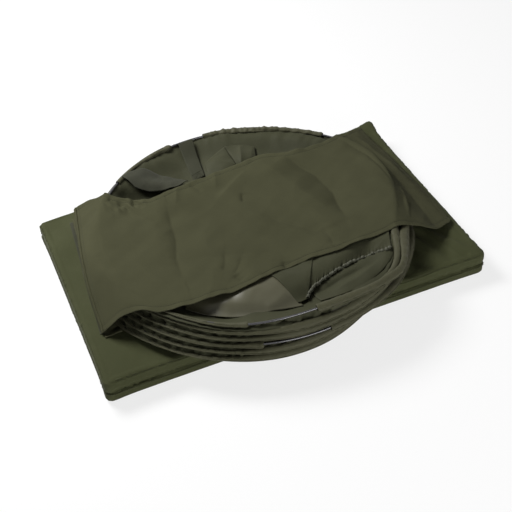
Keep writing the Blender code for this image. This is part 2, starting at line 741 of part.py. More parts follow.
def fastening_ends():
    """X and Y ranges of the hook and loop tapes under the flap's free end."""
    near, far = flap_edges(1.0)
    ends_y = (near + HOOK_TAPE_INSET, far - HOOK_TAPE_INSET)
    return (TAPE_LEFT_X, TAPE_LEFT_X + HOOK_TAPE_WIDTH), ends_y


def build_loop_tape(build):
    """The loop tape sewn on the mat at its right end."""
    ends_x, ends_y = fastening_ends()
    build_mat_strip(build, "loop_tape", ends_x, ends_y, TAPE_SEAT_GAP, LOOP_TAPE_THICKNESS, "loop_tape")


def build_hook_tape(build):
    """The hook tape under the flap's free end, on the loop tape."""
    ends_x, ends_y = fastening_ends()
    seat = TAPE_SEAT_GAP + LOOP_TAPE_THICKNESS + FIT_GAP
    build_mat_strip(build, "hook_tape", ends_x, ends_y, seat, HOOK_TAPE_THICKNESS, "loop_tape")


def build_laid_piece(build, name, wall, corner_shares, thick, bulge, material):
    """A four-cornered piece on the wall cloth, its corners in shares of half the coil's width and depth."""
    corners = [wall.plan(shares) for shares in corner_shares]

    def lie(u, v):
        near = corners[0].lerp(corners[1], u)
        far = corners[3].lerp(corners[2], u)
        x, y = near.lerp(far, v)
        swell = bulge * math.sin(math.pi * u) * math.sin(math.pi * v)
        return Vector((x, y, wall.height(x, y) + LAID_CLEARANCE + thick + swell))

    build.grid(name, LAID_COLUMNS, LAID_ROWS, lie, thick, material)


def build_pack_details(build, wall):
    """The pieces that show on the bunched wall cloth."""
    pieces = (
        ("liner_panel", LINER_CORNER_SHARES, LINER_THICKNESS, LINER_BULGE, "coated_liner"),
        ("wall_corner", FOLDED_CORNER_SHARES, LINER_THICKNESS, FOLDED_CORNER_BULGE, "olive_nylon"),
        ("elastic_cover", COVER_CORNER_SHARES, LINER_THICKNESS, COVER_BULGE, "olive_nylon"),
        ("loop_patch", PATCH_CORNER_SHARES, PATCH_THICKNESS, 0.0, "loop_tape"),
        ("webbing_strap", STRAP_CORNER_SHARES, WEBBING_THICKNESS, 0.0, "webbing"),
        ("folded_tab", TAB_CORNER_SHARES, LINER_THICKNESS, TAB_BULGE, "olive_nylon"),
    )
    for name, corner_shares, thick, bulge, material in pieces:
        build_laid_piece(build, name, wall, corner_shares, thick, bulge, material)
    start, end = ELASTIC_END_SHARES
    points = []
    for step in range(ELASTIC_RUNS + 1):
        x, y = wall.plan(Vector(start).lerp(Vector(end), step / ELASTIC_RUNS))
        points.append(Vector((x, y, wall.height(x, y) + LAID_CLEARANCE + ELASTIC_RADIUS)))
    build.tube("elastic_cord", points, ELASTIC_RADIUS, "dark_nylon")


def build_pack(build, lower, upper):
    """The coiled hoops, the wall cloth inside them and what lies on it."""
    build_hoop(build, "lower", lower, LOWER_OPEN_STRETCHES)
    build_hoop(build, "upper", upper, UPPER_OPEN_STRETCHES)
    wall = Wall(lower, upper)
    wall.build(build)
    build_pack_details(build, wall)


def main():
    """Builds the whole part, body by body, each moving one under an empty on its axis."""
    start_clean()
    build = Builder(new_collection("unhooking_mat"))
    build_half(build, "upper", UPPER_BASE, ("upper_inner_panel", "upper_top_panel"), True)
    build_fold_piping(build)
    build_seam_strips(build)
    build_loop_tape(build)

    build.carry_on("mat_fold_axis", Vector((0.0, FOLD_AXIS_Y, FOLD_AXIS_Z)))
    build_half(build, "lower", 0.0, ("lower_ground_panel", "lower_inner_panel"), False)

    lower = Hoop(0, COIL_START_ANGLE)
    upper = Hoop(HOOP_TURNS, COIL_START_ANGLE)
    print(f"least gap between turns: {least_gap((lower, upper)) * 1000:.2f} mm")
    seam_line = Vector((FLAP_AXIS_X, 0.0, FLAP_AXIS_Z))
    pack_axis = build.carry_on("pack_lift_axis", seam_line)
    build_pack(build, lower, upper)

    build.carry_on("flap_open_axis", seam_line, pack_axis)
    build_flap(build, (lower, upper))
    build_hook_tape(build)


main()
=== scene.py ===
"""Looks of the folded unhooking mat: padded halves, coiled pop-up wall and retaining flap.

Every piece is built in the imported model's frame, in metres, and rides on one of its bodies.
"""

import logging
import math
from dataclasses import dataclass, field
from enum import Enum
from typing import Dict, List, Optional, Sequence, Tuple

import bpy
import numpy as np
from mathutils import Matrix, Vector
from mathutils.bvhtree import BVHTree


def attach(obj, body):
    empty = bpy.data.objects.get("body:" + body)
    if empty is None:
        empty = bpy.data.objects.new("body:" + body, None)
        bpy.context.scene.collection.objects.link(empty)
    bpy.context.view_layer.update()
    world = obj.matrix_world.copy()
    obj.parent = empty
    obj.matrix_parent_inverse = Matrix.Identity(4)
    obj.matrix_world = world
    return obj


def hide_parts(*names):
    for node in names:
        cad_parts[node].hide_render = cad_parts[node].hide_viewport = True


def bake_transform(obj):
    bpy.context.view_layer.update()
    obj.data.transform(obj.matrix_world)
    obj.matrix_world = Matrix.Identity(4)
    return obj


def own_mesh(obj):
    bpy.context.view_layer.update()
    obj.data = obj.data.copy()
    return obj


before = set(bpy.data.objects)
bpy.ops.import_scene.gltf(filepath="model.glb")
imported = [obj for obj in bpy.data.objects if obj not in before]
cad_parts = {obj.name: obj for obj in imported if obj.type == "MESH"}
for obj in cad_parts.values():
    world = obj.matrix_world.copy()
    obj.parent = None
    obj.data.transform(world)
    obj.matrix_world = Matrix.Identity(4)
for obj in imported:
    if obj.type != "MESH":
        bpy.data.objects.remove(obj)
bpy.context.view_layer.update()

LOG = logging.getLogger("unhooking_mat")
Array = np.ndarray
Pair = Tuple[float, float]
Triple = Tuple[float, float, float]
Inputs = Dict[object, object]
Piece = bpy.types.Object
Tree = bpy.types.NodeTree
Socket = bpy.types.NodeSocket
MM = 0.001
UP = np.array([0.0, 0.0, 1.0])


class Body(Enum):
    """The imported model's bodies."""

    UPPER = "upper_half"
    LOWER = "lower_half"
    PACK = "hoop_pack"
    FLAP = "flap"


class Held(Enum):
    """How a sheet of cloth is held."""

    GATHERED = "gathered"
    LAID = "laid"
    FOLDED = "folded"
    STRETCHED = "stretched"


# Numbers and lines


def smooth(share: Array) -> Array:
    """A share from 0 to 1, eased at both ends."""
    held = np.clip(share, 0.0, 1.0)
    return held * held * (3 - 2 * held)


def mix(low: Array, high: Array, share: Array) -> Array:
    """The value a share of the way from low to high."""
    return low + (high - low) * share


def bell(distance: Array, width: float) -> Array:
    """A rounded hump, 1 at distance 0."""
    return np.exp(-np.square(distance / width))


def run_along(line: Array) -> Array:
    """Distance along a line of points, at each of them."""
    steps = np.linalg.norm(np.diff(line, axis=0), axis=1)
    return np.concatenate([[0.0], np.cumsum(steps)])


def along_line(points: Sequence[Sequence[float]], shares: Array) -> Array:
    """Points at shares of the length of a smooth line through given points.

    Args:
        points: The line's own points, two or three numbers each.
        shares: Places along it, from 0 to 1.

    Returns:
        One row per share.
    """
    own = np.array(points, float)
    marks = run_along(own)
    marks = marks / marks[-1]
    slopes = np.gradient(own, marks, axis=0)
    spot = np.clip(np.searchsorted(marks, shares, side="right") - 1, 0, len(own) - 2)
    span = (marks[spot + 1] - marks[spot])[:, None]
    t = (np.asarray(shares) - marks[spot])[:, None] / span
    low, high = own[spot], own[spot + 1]
    rise, fall = slopes[spot] * span, slopes[spot + 1] * span
    t2, t3 = t * t, t * t * t
    return (
        (2 * t3 - 3 * t2 + 1) * low
        + (t3 - 2 * t2 + t) * rise
        + (3 * t2 - 2 * t3) * high
        + (t3 - t2) * fall
    )


def even_line(points: Sequence[Sequence[float]], count: int, closed: bool = False) -> Array:
    """Points evenly spaced on the straight runs between given points.

    Args:
        points: The line's own points.
        count: How many points to give.
        closed: Whether the line closes on itself; its first point isn't repeated.

    Returns:
        One row per point.
    """
    own = np.array(points, float)
    if closed:
        own = np.concatenate([own, own[:1]])
    marks = run_along(own)
    spots = np.linspace(0, marks[-1], count, endpoint=not closed)
    return np.stack([np.interp(spots, marks, own[:, axis]) for axis in range(own.shape[1])], axis=1)


def round_angles(count: int) -> Array:
    """Evenly spaced angles once round, in radians."""
    return np.linspace(0, 2 * math.pi, count, endpoint=False)


def round_table(rows: Sequence[Sequence[float]], degrees: Array) -> Array:
    """Values at angles, eased between rows of (angle, value, ...) that repeat every turn.

    Args:
        rows: Angle in degrees and the values there, in rising order.
        degrees: The angles asked for.

    Returns:
        One row of values per angle.
    """
    table = np.array(rows, float)
    angles = np.concatenate([table[-1:, 0] - 360, table[:, 0], table[:1, 0] + 360])
    values = np.concatenate([table[-1:, 1:], table[:, 1:], table[:1, 1:]])
    wrapped = (np.asarray(degrees) - table[0, 0]) % 360 + table[0, 0]
    spot = np.clip(np.searchsorted(angles, wrapped, side="right") - 1, 0, len(angles) - 2)
    share = smooth((wrapped - angles[spot]) / (angles[spot + 1] - angles[spot]))
    return mix(values[spot], values[spot + 1], share[:, None])


@dataclass(frozen=True)
class Ripple:
    """Seeded soft unevenness: a sum of plane waves of about one length.

    Args:
        seed: Which unevenness.
        length: Usual wave length in metres.
        height: Usual height in metres.
        lean: Direction in degrees that the crests run across, or None for all.
        spread: How far crests turn from that direction, in degrees.
        creased: Folds the waves over, which gives sharp crests.
        waves: How many waves are summed.
    """

    seed: int
    length: float
    height: float
    lean: Optional[float] = None
    spread: float = 25.0
    creased: bool = False
    waves: int = 11

    def at(self, across: Array, along: Array) -> Array:
        """Height of the unevenness at points given by two coordinates."""
        rng = np.random.default_rng(self.seed)
        total = np.zeros(np.broadcast(across, along).shape)
        for _ in range(self.waves):
            turn = (
                rng.uniform(0, 360)
                if self.lean is None
                else self.lean + rng.normal(0, self.spread)
            )
            number = 2 * math.pi / (self.length * rng.uniform(0.65, 1.6))
            lead = rng.uniform(0, 2 * math.pi)
            heading = math.radians(turn)
            total = total + np.sin(
                number * (across * math.cos(heading) + along * math.sin(heading)) + lead
            )
        total = total / math.sqrt(self.waves / 2)
        if self.creased:
            total = 1.0 - 1.6 * np.sqrt(np.square(total) + 0.02)
        return self.height * total


@dataclass(frozen=True)
class FoldLine:
    """A fold in a sheet along a bent line, with a width of its own on each side.

    Args:
        path: Places along it in plan, in millimetres.
        height: Its height in millimetres, below zero for a valley.
        left: Width on the left of the way along it, in millimetres.
        right: Width on the right.
        power: Power of its profile: near 1 a sharp crease, near 2 a soft one.
    """

    path: Tuple[Pair, ...]
    height: float
    left: float
    right: float
    power: float = 1.25

    def at(self, x: Array, y: Array) -> Array:
        """Height of the fold at points in plan."""
        line = np.array(self.path) * MM
        runs = np.diff(line, axis=0)
        lengths = np.linalg.norm(runs, axis=1)
        nearest = np.full(np.shape(x), np.inf)
        aside = np.zeros(np.shape(x))
        ahead = np.zeros(np.shape(x))
        passed = 0.0
        for first, run, length in zip(line, runs, lengths):
            away_x, away_y = x - first[0], y - first[1]
            share = np.clip((away_x * run[0] + away_y * run[1]) / length**2, 0.0, 1.0)
            distance = np.hypot(away_x - share * run[0], away_y - share * run[1])
            nearer = distance < nearest
            nearest = np.where(nearer, distance, nearest)
            aside = np.where(nearer, run[0] * away_y - run[1] * away_x, aside)
            ahead = np.where(nearer, passed + share * length, ahead)
            passed += length
        width = np.where(aside > 0, self.left, self.right) * MM
        share = ahead / passed
        ends = smooth(share / 0.35 + 0.3) * smooth((1 - share) / 0.35 + 0.3)
        return self.height * MM * np.exp(-np.power(nearest / width, self.power)) * ends


# Meshes


def quads(rows: int, columns: int, close_rows: bool, close_columns: bool) -> List[Tuple[int, ...]]:
    """Faces of a grid of rows by columns points, joined round where asked."""
    faces = []
    for row in range(rows if close_rows else rows - 1):
        here, after = row * columns, (row + 1) % rows * columns
        for column in range(columns if close_columns else columns - 1):
            beside = (column + 1) % columns
            faces.append((here + column, here + beside, after + beside, after + column))
    return faces


def new_piece(name: str, points: Array, faces: Sequence[Sequence[int]]) -> Piece:
    """A smooth-shaded mesh object in the scene."""
    data = bpy.data.meshes.new(name)
    data.from_pydata(np.asarray(points, float).reshape(-1, 3).tolist(), [], list(faces))
    data.shade_smooth()
    made = bpy.data.objects.new(name, data)
    bpy.context.scene.collection.objects.link(made)
    return made


def grid_piece(name: str, points: Array, close_rows: bool = False, close_columns: bool = False) -> Piece:
    """A mesh through a (rows, columns, 3) array of points."""
    rows, columns = points.shape[:2]
    return new_piece(name, points, quads(rows, columns, close_rows, close_columns))


def values_at_points(piece: Piece, name: str) -> Array:
    """A value of three numbers at each of a piece's own points, one row each."""
    flat = np.zeros(len(piece.data.vertices) * 3, np.float32)
    piece.data.vertices.foreach_get(name, flat)
    return flat.reshape(-1, 3).astype(float)


def coordinates(piece: Piece) -> Array:
    """A piece's own points."""
    return values_at_points(piece, "co")


def move_to(piece: Piece, points: Array) -> None:
    """Puts a piece's own points where they are given."""
    piece.data.vertices.foreach_set("co", points.astype(np.float32).ravel())
    piece.data.update()


def give_thickness(piece: Piece, wall: float, offset: float = -1.0) -> None:
    """Gives an open sheet its cloth thickness."""
    solid = piece.modifiers.new("cloth", "SOLIDIFY")
    solid.thickness = wall
    solid.offset = offset
    solid.use_even_offset = False


def apply_modifier(piece: Piece, name: str) -> None:
    """Makes a modifier's result the piece's own mesh."""
    bpy.context.view_layer.objects.active = piece
    bpy.ops.object.select_all(action="DESELECT")
    piece.select_set(True)
    bpy.ops.object.modifier_apply(modifier=name)


def frames_along(points: Array, closed: bool) -> Tuple[Array, Array]:
    """Level outward and upward directions along a line of points.

    Args:
        points: One row each.
        closed: Whether the line closes on itself.

    Returns:
        The outward and the upward direction at each point.
    """
    if closed:
        ahead = np.roll(points, -1, axis=0) - np.roll(points, 1, axis=0)
    else:
        ahead = np.gradient(points, axis=0)
    ahead /= np.linalg.norm(ahead, axis=1)[:, None]
    outward = np.cross(ahead, UP)
    outward /= np.linalg.norm(outward, axis=1)[:, None]
    return outward, np.cross(outward, ahead)


def tube_points(line: Array, radius: Array, sides: int, closed: bool = False) -> Array:
    """Rings of points round a line.

    Args:
        line: Centreline, one row per point.
        radius: One radius, or one per point.
        sides: Points per ring.
        closed: Whether the line closes on itself.

    Returns:
        An array of (points, sides, 3).
    """
    outward, upward = frames_along(line, closed)
    turn = round_angles(sides)
    size = np.broadcast_to(radius, (len(line),))[:, None, None]
    ring = (
        np.cos(turn)[None, :, None] * outward[:, None, :]
        + np.sin(turn)[None, :, None] * upward[:, None, :]
    )
    return line[:, None, :] + size * ring


def capped_rings(name: str, rings: Array) -> Piece:
    """A closed mesh through a (rings, sides, 3) array of points, with a face over each end."""
    count, sides = rings.shape[:2]
    faces = quads(count, sides, False, True)
    last = (count - 1) * sides
    faces += [tuple(reversed(range(sides))), tuple(range(last, last + sides))]
    return new_piece(name, rings, faces)


def capped_tube(name: str, line: Array, radius: Array, sides: int) -> Piece:
    """A tube along a line with rounded closed ends."""
    sizes = np.broadcast_to(radius, (len(line),)).copy()
    sizes[[0, -1]] *= 0.35
    return capped_rings(name, tube_points(line, sizes, sides))


@dataclass
class StitchRows:
    """Sewn rows of thread, gathered into one mesh.

    Args:
        pitch: Distance from one stitch to the next.
        length: Length of one stitch that shows.
        thread: Thickness of the thread.
        points, faces: What has been sewn so far.
    """

    pitch: float = 0.0042
    length: float = 0.0031
    thread: float = 0.0006
    points: List[Array] = field(default_factory=list)
    faces: List[Sequence[int]] = field(default_factory=list)

    def sew(self, line: Array, outward: Array) -> None:
        """Adds a row along a line.

        Args:
            line: Places on the cloth, close together.
            outward: Direction out of the cloth at each place.
        """
        marks = run_along(line)
        spots = np.arange(self.pitch / 2, marks[-1] - self.pitch / 2, self.pitch)
        if len(spots) == 0:
            return
        middle, heading, normal = (
            np.stack([np.interp(spots, marks, value[:, axis]) for axis in range(3)], axis=1)
            for value in (line, np.gradient(line, axis=0), outward)
        )
        heading /= np.linalg.norm(heading, axis=1)[:, None]
        normal /= np.linalg.norm(normal, axis=1)[:, None]
        side = np.cross(heading, normal)
        thick, half = self.thread, self.length / 2
        shape = []
        for ahead, size in ((-half, 0.25), (-half * 0.6, 1.0), (half * 0.6, 1.0), (half, 0.25)):
            lift = thick * (0.45 if size > 0.5 else -0.1)
            for turn in (45, 135, 225, 315):
                wide = math.cos(math.radians(turn)) * thick * 0.75 * size
                high = math.sin(math.radians(turn)) * thick * 0.6 * size
                shape.append(heading * ahead + side * wide + normal * (high + lift))
        block = middle[:, None, :] + np.stack(shape, axis=1)
        base = sum(len(done) for done in self.points)
        self.points.append(block.reshape(-1, 3))
        sides = np.array(quads(4, 4, False, True))
        for first in range(base, base + 16 * len(spots), 16):
            self.faces.extend((sides + first).tolist())

    def sew_flat(self, lines: Sequence[Array], lift: float) -> None:
        """Adds a row along each line of cloth that faces up, lifted a little off it."""
        for line in lines:
            self.sew(line + UP * lift, np.broadcast_to(UP, line.shape))

    def piece(self, name: str) -> Piece:
        """All rows as one mesh."""
        return new_piece(name, np.concatenate(self.points), self.faces)


# Finishes


def set_inputs(node: bpy.types.Node, inputs: Inputs) -> None:
    """Gives a node's inputs, by name or number, plain values or other nodes' outputs."""
    for name, value in inputs.items():
        if isinstance(value, Socket):
            node.id_data.links.new(value, node.inputs[name])
        else:
            node.inputs[name].default_value = value


def add_node(
    tree: Tree, kind: str, inputs: Optional[Inputs] = None, **settings: object
) -> bpy.types.Node:
    """A node with its settings and its inputs."""
    node = tree.nodes.new(kind)
    for name, value in settings.items():
        setattr(node, name, value)
    set_inputs(node, inputs or {})
    return node


def math_node(tree: Tree, operation: str, first: object, second: object) -> Socket:
    """The result of a Math node on two sockets or numbers."""
    return add_node(tree, "ShaderNodeMath", {0: first, 1: second}, operation=operation).outputs[0]


def map_range(tree: Tree, value: Socket, limits: Dict[str, float]) -> Socket:
    """The result of a Map Range node on a socket."""
    return add_node(tree, "ShaderNodeMapRange", {"Value": value, **limits}).outputs["Result"]


def mix_colours(tree: Tree, share: Socket, first: object, second: object) -> Socket:
    """The result of mixing two colours by a share."""
    inputs = {"Factor": share, "A": first, "B": second}
    return add_node(tree, "ShaderNodeMix", inputs, data_type="RGBA").outputs["Result"]


def noise(tree: Tree, scale: object, detail: float, rough: float) -> Socket:
    """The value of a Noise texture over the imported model's frame."""
    place = add_node(tree, "ShaderNodeTexCoord").outputs["Object"]
    inputs = {"Vector": place, "Scale": scale, "Detail": detail, "Roughness": rough}
    return add_node(tree, "ShaderNodeTexNoise", inputs).outputs["Fac"]


def new_group(name: str, inputs: Dict[str, object], outputs: Sequence[str]) -> Tuple:
    """A shader node group with named sockets, each a colour or a number.

    Args:
        name: The group's name.
        inputs: First value by input name, four numbers for a colour.
        outputs: Names of the outputs; the one called Colour is a colour.

    Returns:
        The group, the outputs of its input node, and its output node.
    """
    group = bpy.data.node_groups.new(name, "ShaderNodeTree")
    for socket, value in inputs.items():
        kind = "NodeSocketColor" if isinstance(value, tuple) else "NodeSocketFloat"
        made = group.interface.new_socket(socket, in_out="INPUT", socket_type=kind)
        made.default_value = value
    for socket in outputs:
        kind = "NodeSocketColor" if socket == "Colour" else "NodeSocketFloat"
        group.interface.new_socket(socket, in_out="OUTPUT", socket_type=kind)
    start = add_node(group, "NodeGroupInput").outputs
    return group, start, add_node(group, "NodeGroupOutput")


class Effects:
    """The shader groups that several finishes share."""

    def __init__(self) -> None:
        """Builds each group once."""
        self.weave = self.build_weave()
        self.crumple = self.build_crumple()
        self.tone = self.build_tone()
        self.wear = self.build_wear()

    def build_weave(self) -> Tree:
        """Plain weave: warp and weft threads that pass over each other."""
        group, start, end = new_group("plain_weave", {"Threads per metre": 1600.0}, ["Height"])
        place = add_node(group, "ShaderNodeTexCoord").outputs["Object"]
        parts = add_node(group, "ShaderNodeSeparateXYZ", {0: place}).outputs
        scale = math_node(group, "MULTIPLY", start[0], math.pi)
        lean = math_node(group, "ADD", parts["Y"], parts["Z"])
        waves = []
        for source in (parts["X"], lean):
            turn = math_node(group, "MULTIPLY", source, scale)
            waves.append(math_node(group, "SINE", turn, 0.0))
        crossing = math_node(group, "MULTIPLY", waves[0], waves[1])
        warp = math_node(group, "ABSOLUTE", waves[0], 0.0)
        total = math_node(group, "ADD", crossing, warp)
        set_inputs(end, {"Height": math_node(group, "MULTIPLY", total, 0.5)})
        return group

    def build_crumple(self) -> Tree:
        """Small creases of cloth that has been folded and handled."""
        group, start, end = new_group("crumple", {"Scale": 60.0, "Sharpness": 0.5}, ["Height"])
        broad = noise(group, start["Scale"], 3.0, 0.55)
        fine = noise(group, math_node(group, "MULTIPLY", start["Scale"], 2.7), 2.0, 0.5)
        centred = math_node(group, "SUBTRACT", fine, 0.5)
        folded = math_node(group, "ABSOLUTE", centred, 0.0)
        crest = math_node(group, "SUBTRACT", 0.35, folded)
        sharp = math_node(group, "MULTIPLY", crest, start["Sharpness"])
        set_inputs(end, {"Height": math_node(group, "ADD", broad, sharp)})
        return group

    def build_tone(self) -> Tree:
        """A colour that drifts between two shades over a piece."""
        grey = (0.1, 0.1, 0.1, 1.0)
        inputs = {"Colour": grey, "Shade": grey, "Scale": 9.0}
        group, start, end = new_group("tone_drift", inputs, ["Colour", "Mask"])
        drift = noise(group, start["Scale"], 4.0, 0.6)
        share = map_range(group, drift, {"From Min": 0.32, "From Max": 0.68})
        colour = mix_colours(group, share, start["Shade"], start["Colour"])
        set_inputs(end, {"Colour": colour, "Mask": share})
        return group

    def build_wear(self) -> Tree:
        """Rubbed edges: the mask is high on raised edges and broken up by grain."""
        group, start, end = new_group("edge_wear", {"Amount": 0.4}, ["Mask"])
        shape = add_node(group, "ShaderNodeNewGeometry").outputs["Pointiness"]
        raised = map_range(group, shape, {"From Min": 0.51, "From Max": 0.60})
        broken = math_node(group, "MULTIPLY", raised, noise(group, 140.0, 3.0, 0.6))
        set_inputs(end, {"Mask": math_node(group, "MULTIPLY", broken, start["Amount"])})
        return group


@dataclass(frozen=True)
class Finish:
    """One finish of the record, made into a material once.

    Args:
        slot: The record's material slot.
        colour: Linear colour of the lit cloth.
        roughness: Middle roughness.
        drift: How far the roughness drifts.
        sheen: Weight of the cloth's sheen.
        gloss: Specular level.
        coat: Weight of a clear coat, for coated pieces.
        metallic: 1 for bare metal.
        threads: Threads per metre of its weave, 0 for none.
        weave_depth: Depth of the weave in metres.
        crumple_scale: Scale of its small creases.
        crumple_depth: Depth of those creases in metres.
        wear: How much its edges are rubbed.
        sheen_roughness: Roughness of the sheen.
        coat_roughness: Roughness of the clear coat.
    """

    slot: str
    colour: Triple
    roughness: float = 0.6
    drift: float = 0.06
    sheen: float = 0.02
    gloss: float = 0.35
    coat: float = 0.0
    metallic: float = 0.0
    threads: float = 1500.0
    weave_depth: float = 0.00008
    crumple_scale: float = 70.0
    crumple_depth: float = 0.0005
    wear: float = 0.5
    sheen_roughness: float = 0.45
    coat_roughness: float = 0.16

    @property
    def shade(self) -> Triple:
        """The deeper colour that the cloth drifts to."""
        return tuple(0.86 * value for value in self.colour)

    @property
    def worn(self) -> Triple:
        """The paler colour of rubbed edges."""
        return tuple(1.25 * value + 0.012 for value in self.colour)

    def material(self, effects: Effects) -> bpy.types.Material:
        """Builds the material from the shared groups."""
        made = bpy.data.materials.new(self.slot + "_finish")
        made.use_nodes = True
        tree = made.node_tree
        shader = tree.nodes["Principled BSDF"]
        colours = {"Colour": (*self.colour, 1.0), "Shade": (*self.shade, 1.0)}
        tone = add_node(tree, "ShaderNodeGroup", colours, node_tree=effects.tone).outputs
        wear = add_node(tree, "ShaderNodeGroup", {"Amount": self.wear}, node_tree=effects.wear)
        rubbed = mix_colours(tree, wear.outputs["Mask"], tone["Colour"], (*self.worn, 1.0))
        limits = {"To Min": self.roughness + self.drift, "To Max": self.roughness - self.drift}
        scale = {"Scale": self.crumple_scale}
        crumple = add_node(tree, "ShaderNodeGroup", scale, node_tree=effects.crumple)
        creases = {"Distance": self.crumple_depth, "Height": crumple.outputs["Height"]}
        bump = add_node(tree, "ShaderNodeBump", creases)
        if self.threads:
            threads = {"Threads per metre": self.threads}
            weave = add_node(tree, "ShaderNodeGroup", threads, node_tree=effects.weave)
            relief = {
                "Distance": self.weave_depth,
                "Height": weave.outputs["Height"],
                "Normal": bump.outputs["Normal"],
            }
            bump = add_node(tree, "ShaderNodeBump", relief)
        surface = {
            "Base Color": rubbed,
            "Metallic": self.metallic,
            "Roughness": map_range(tree, tone["Mask"], limits),
            "Sheen Weight": self.sheen,
            "Sheen Roughness": self.sheen_roughness,
            "Specular IOR Level": self.gloss,
            "Coat Weight": self.coat,
            "Coat Roughness": self.coat_roughness,
            "Normal": bump.outputs["Normal"],
        }
        set_inputs(shader, surface)
        return made


FINISHES = (
    Finish("mat_cloth", (0.050, 0.054, 0.025), 0.66, gloss=0.04),
    Finish("ground_cloth", (0.030, 0.032, 0.020), 0.72, threads=900.0, weave_depth=0.00015),
    Finish(
        "flap_cloth", (0.060, 0.060, 0.034), 0.56, 0.05, sheen=0.01, gloss=0.0,
        crumple_scale=34.0, crumple_depth=0.0002,
    ),
    Finish(
        "wall_cloth", (0.047, 0.048, 0.028), 0.50, gloss=0.04,
        crumple_scale=46.0, crumple_depth=0.0002,
    ),
    Finish("sleeve_cloth", (0.060, 0.059, 0.034), 0.54, 0.08, gloss=0.1, crumple_scale=120.0),
    Finish(
        "coated_liner", (0.076, 0.073, 0.044), 0.38, 0.04, sheen=0.0, gloss=0.22, coat=0.02,
        threads=0.0, crumple_scale=22.0, crumple_depth=0.0003,
    ),
    # Painted shade: the webbing's deep colour is partly the tape's own and partly stands in for the
    # shade beside the flap's left hem, where the seam strip shows.
    Finish(
        "webbing", (0.034, 0.035, 0.021), 0.78, gloss=0.12,
        threads=620.0, weave_depth=0.0003, crumple_depth=0.0002,
    ),
    Finish(
        "loop_pile", (0.047, 0.048, 0.034), 0.92, 0.04, sheen=0.06, gloss=0.05,
        threads=0.0, crumple_scale=900.0, crumple_depth=0.0008,
    ),
    Finish(
        "hook_tape", (0.036, 0.037, 0.028), 0.50, 0.08, sheen=0.0,
        threads=700.0, weave_depth=0.0006, crumple_depth=0.0002,
    ),
    Finish("elastic", (0.050, 0.051, 0.032), 0.62, crumple_scale=160.0),
    Finish(
        "spring_steel", (0.016, 0.015, 0.018), 0.22, 0.05, sheen=0.0, gloss=0.5, coat=0.4,
        threads=0.0, crumple_scale=220.0, crumple_depth=0.00005, wear=0.8,
    ),
    Finish(
        "crimp_steel", (0.480, 0.480, 0.490), 0.34, 0.08, sheen=0.0, metallic=1.0,
        threads=0.0, crumple_scale=300.0, crumple_depth=0.00008,
    ),
)


class Maker:
    """Dresses finished meshes with their material, their body and the CAD nodes they stand for."""

    def __init__(self) -> None:
        """Builds every finish once."""
        effects = Effects()
        self.materials = {finish.slot: finish.material(effects) for finish in FINISHES}

    def dress(self, piece: Piece, slot: str, body: Optional[Body], nodes: Sequence[str] = ()) -> Piece:
        """Gives a piece its finish and its body.

        Args:
            piece: The finished mesh.
            slot: The record's material slot.
            body: The body that it rides on, or None for none.
            nodes: CAD nodes that it stands for.

        Returns:
            The piece.
        """
        piece.data.materials.append(self.materials[slot])
        if nodes:
            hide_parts(*nodes)
        if body is not None:
            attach(piece, body.value)
        LOG.info("%s: %d points, %s", piece.name, len(piece.data.vertices), slot)
        return piece

    def cloth(
        self,
        piece: Piece,
        slot: str,
        body: Optional[Body],
        width: float,
        held: Held,
        rests_on: Sequence[str],
        nodes: Sequence[str] = (),
        wall: float = 0.0008,
        offset: float = -1.0,
    ) -> Piece:
        """Args:
            piece: The open mesh.
            slot: The record's material slot.
            body: The body that it rides on.
            width: Width of the cut; not used.
            held: How it is held; not used.
            rests_on: What it lies on; not used.
            nodes: CAD nodes that it stands for.
            wall: Its thickness.
            offset: Which way the thickness goes.

        Returns:
            The piece.
        """
        give_thickness(piece, wall, offset)
        self.dress(piece, slot, body, nodes)
        return piece


# The padded mat


@dataclass(frozen=True)
class MatForm:
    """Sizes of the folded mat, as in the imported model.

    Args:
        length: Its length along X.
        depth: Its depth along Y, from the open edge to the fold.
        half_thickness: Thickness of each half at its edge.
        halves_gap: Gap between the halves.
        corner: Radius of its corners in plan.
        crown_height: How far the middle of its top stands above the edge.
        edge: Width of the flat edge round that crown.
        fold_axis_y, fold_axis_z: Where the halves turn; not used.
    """

    length: float = 0.706
    depth: float = 0.440
    half_thickness: float = 0.0232
    halves_gap: float = 0.0004
    corner: float = 0.011
    crown_height: float = 0.0040
    edge: float = 0.0040
    fold_axis_y: float = 0.2219
    fold_axis_z: float = 0.0234

    @property
    def top(self) -> float:
        """Height of the upper half's edge."""
        return 2 * self.half_thickness + self.halves_gap

    def crown(self, x: Array, y: Array) -> Array:
        """How far the top stands above its edge."""
        inset = np.minimum(self.length / 2 - np.abs(x), self.depth / 2 - np.abs(y))
        share = np.clip((inset - self.edge) / (self.depth / 2 - self.edge), 0.0, 1.0)
        return self.crown_height * (1 - np.square(1 - share))

    def top_at(self, x: Array, y: Array) -> Array:
        """Height of the upper half's top at points in plan."""
        return self.top + self.crown(x, y)


MAT = MatForm()


@dataclass(frozen=True)
class BandForm:
    """The sewn band round the side of one half, by angle up that side in degrees.

    Args:
        top, bottom: Angles of its edges.
        columns: Points across it.
        stitched: Which of them it is sewn along.
        seams: Angle, width and depth of each seam.
        gather: Height of the gathers at the seams.
        filled: Angle at which it stands out most.
        ridge: Angle, width and height of the ridge below its top seam.
    """

    top: float
    bottom: float
    columns: int
    stitched: int
    seams: Tuple[Triple, ...]
    gather: float
    filled: float
    ridge: Triple


LOWER_BAND = BandForm(52, -44, 25, 5, ((43, 7, 0.0007),), 0.0010, 34, (38, 6.5, 0.0))
UPPER_BAND = BandForm(
    62, -44, 27, 3, ((50, 9, 0.0006), (-26, 8, 0.0004)), 0.00075, -36, (38, 6.5, 0.0009)
)


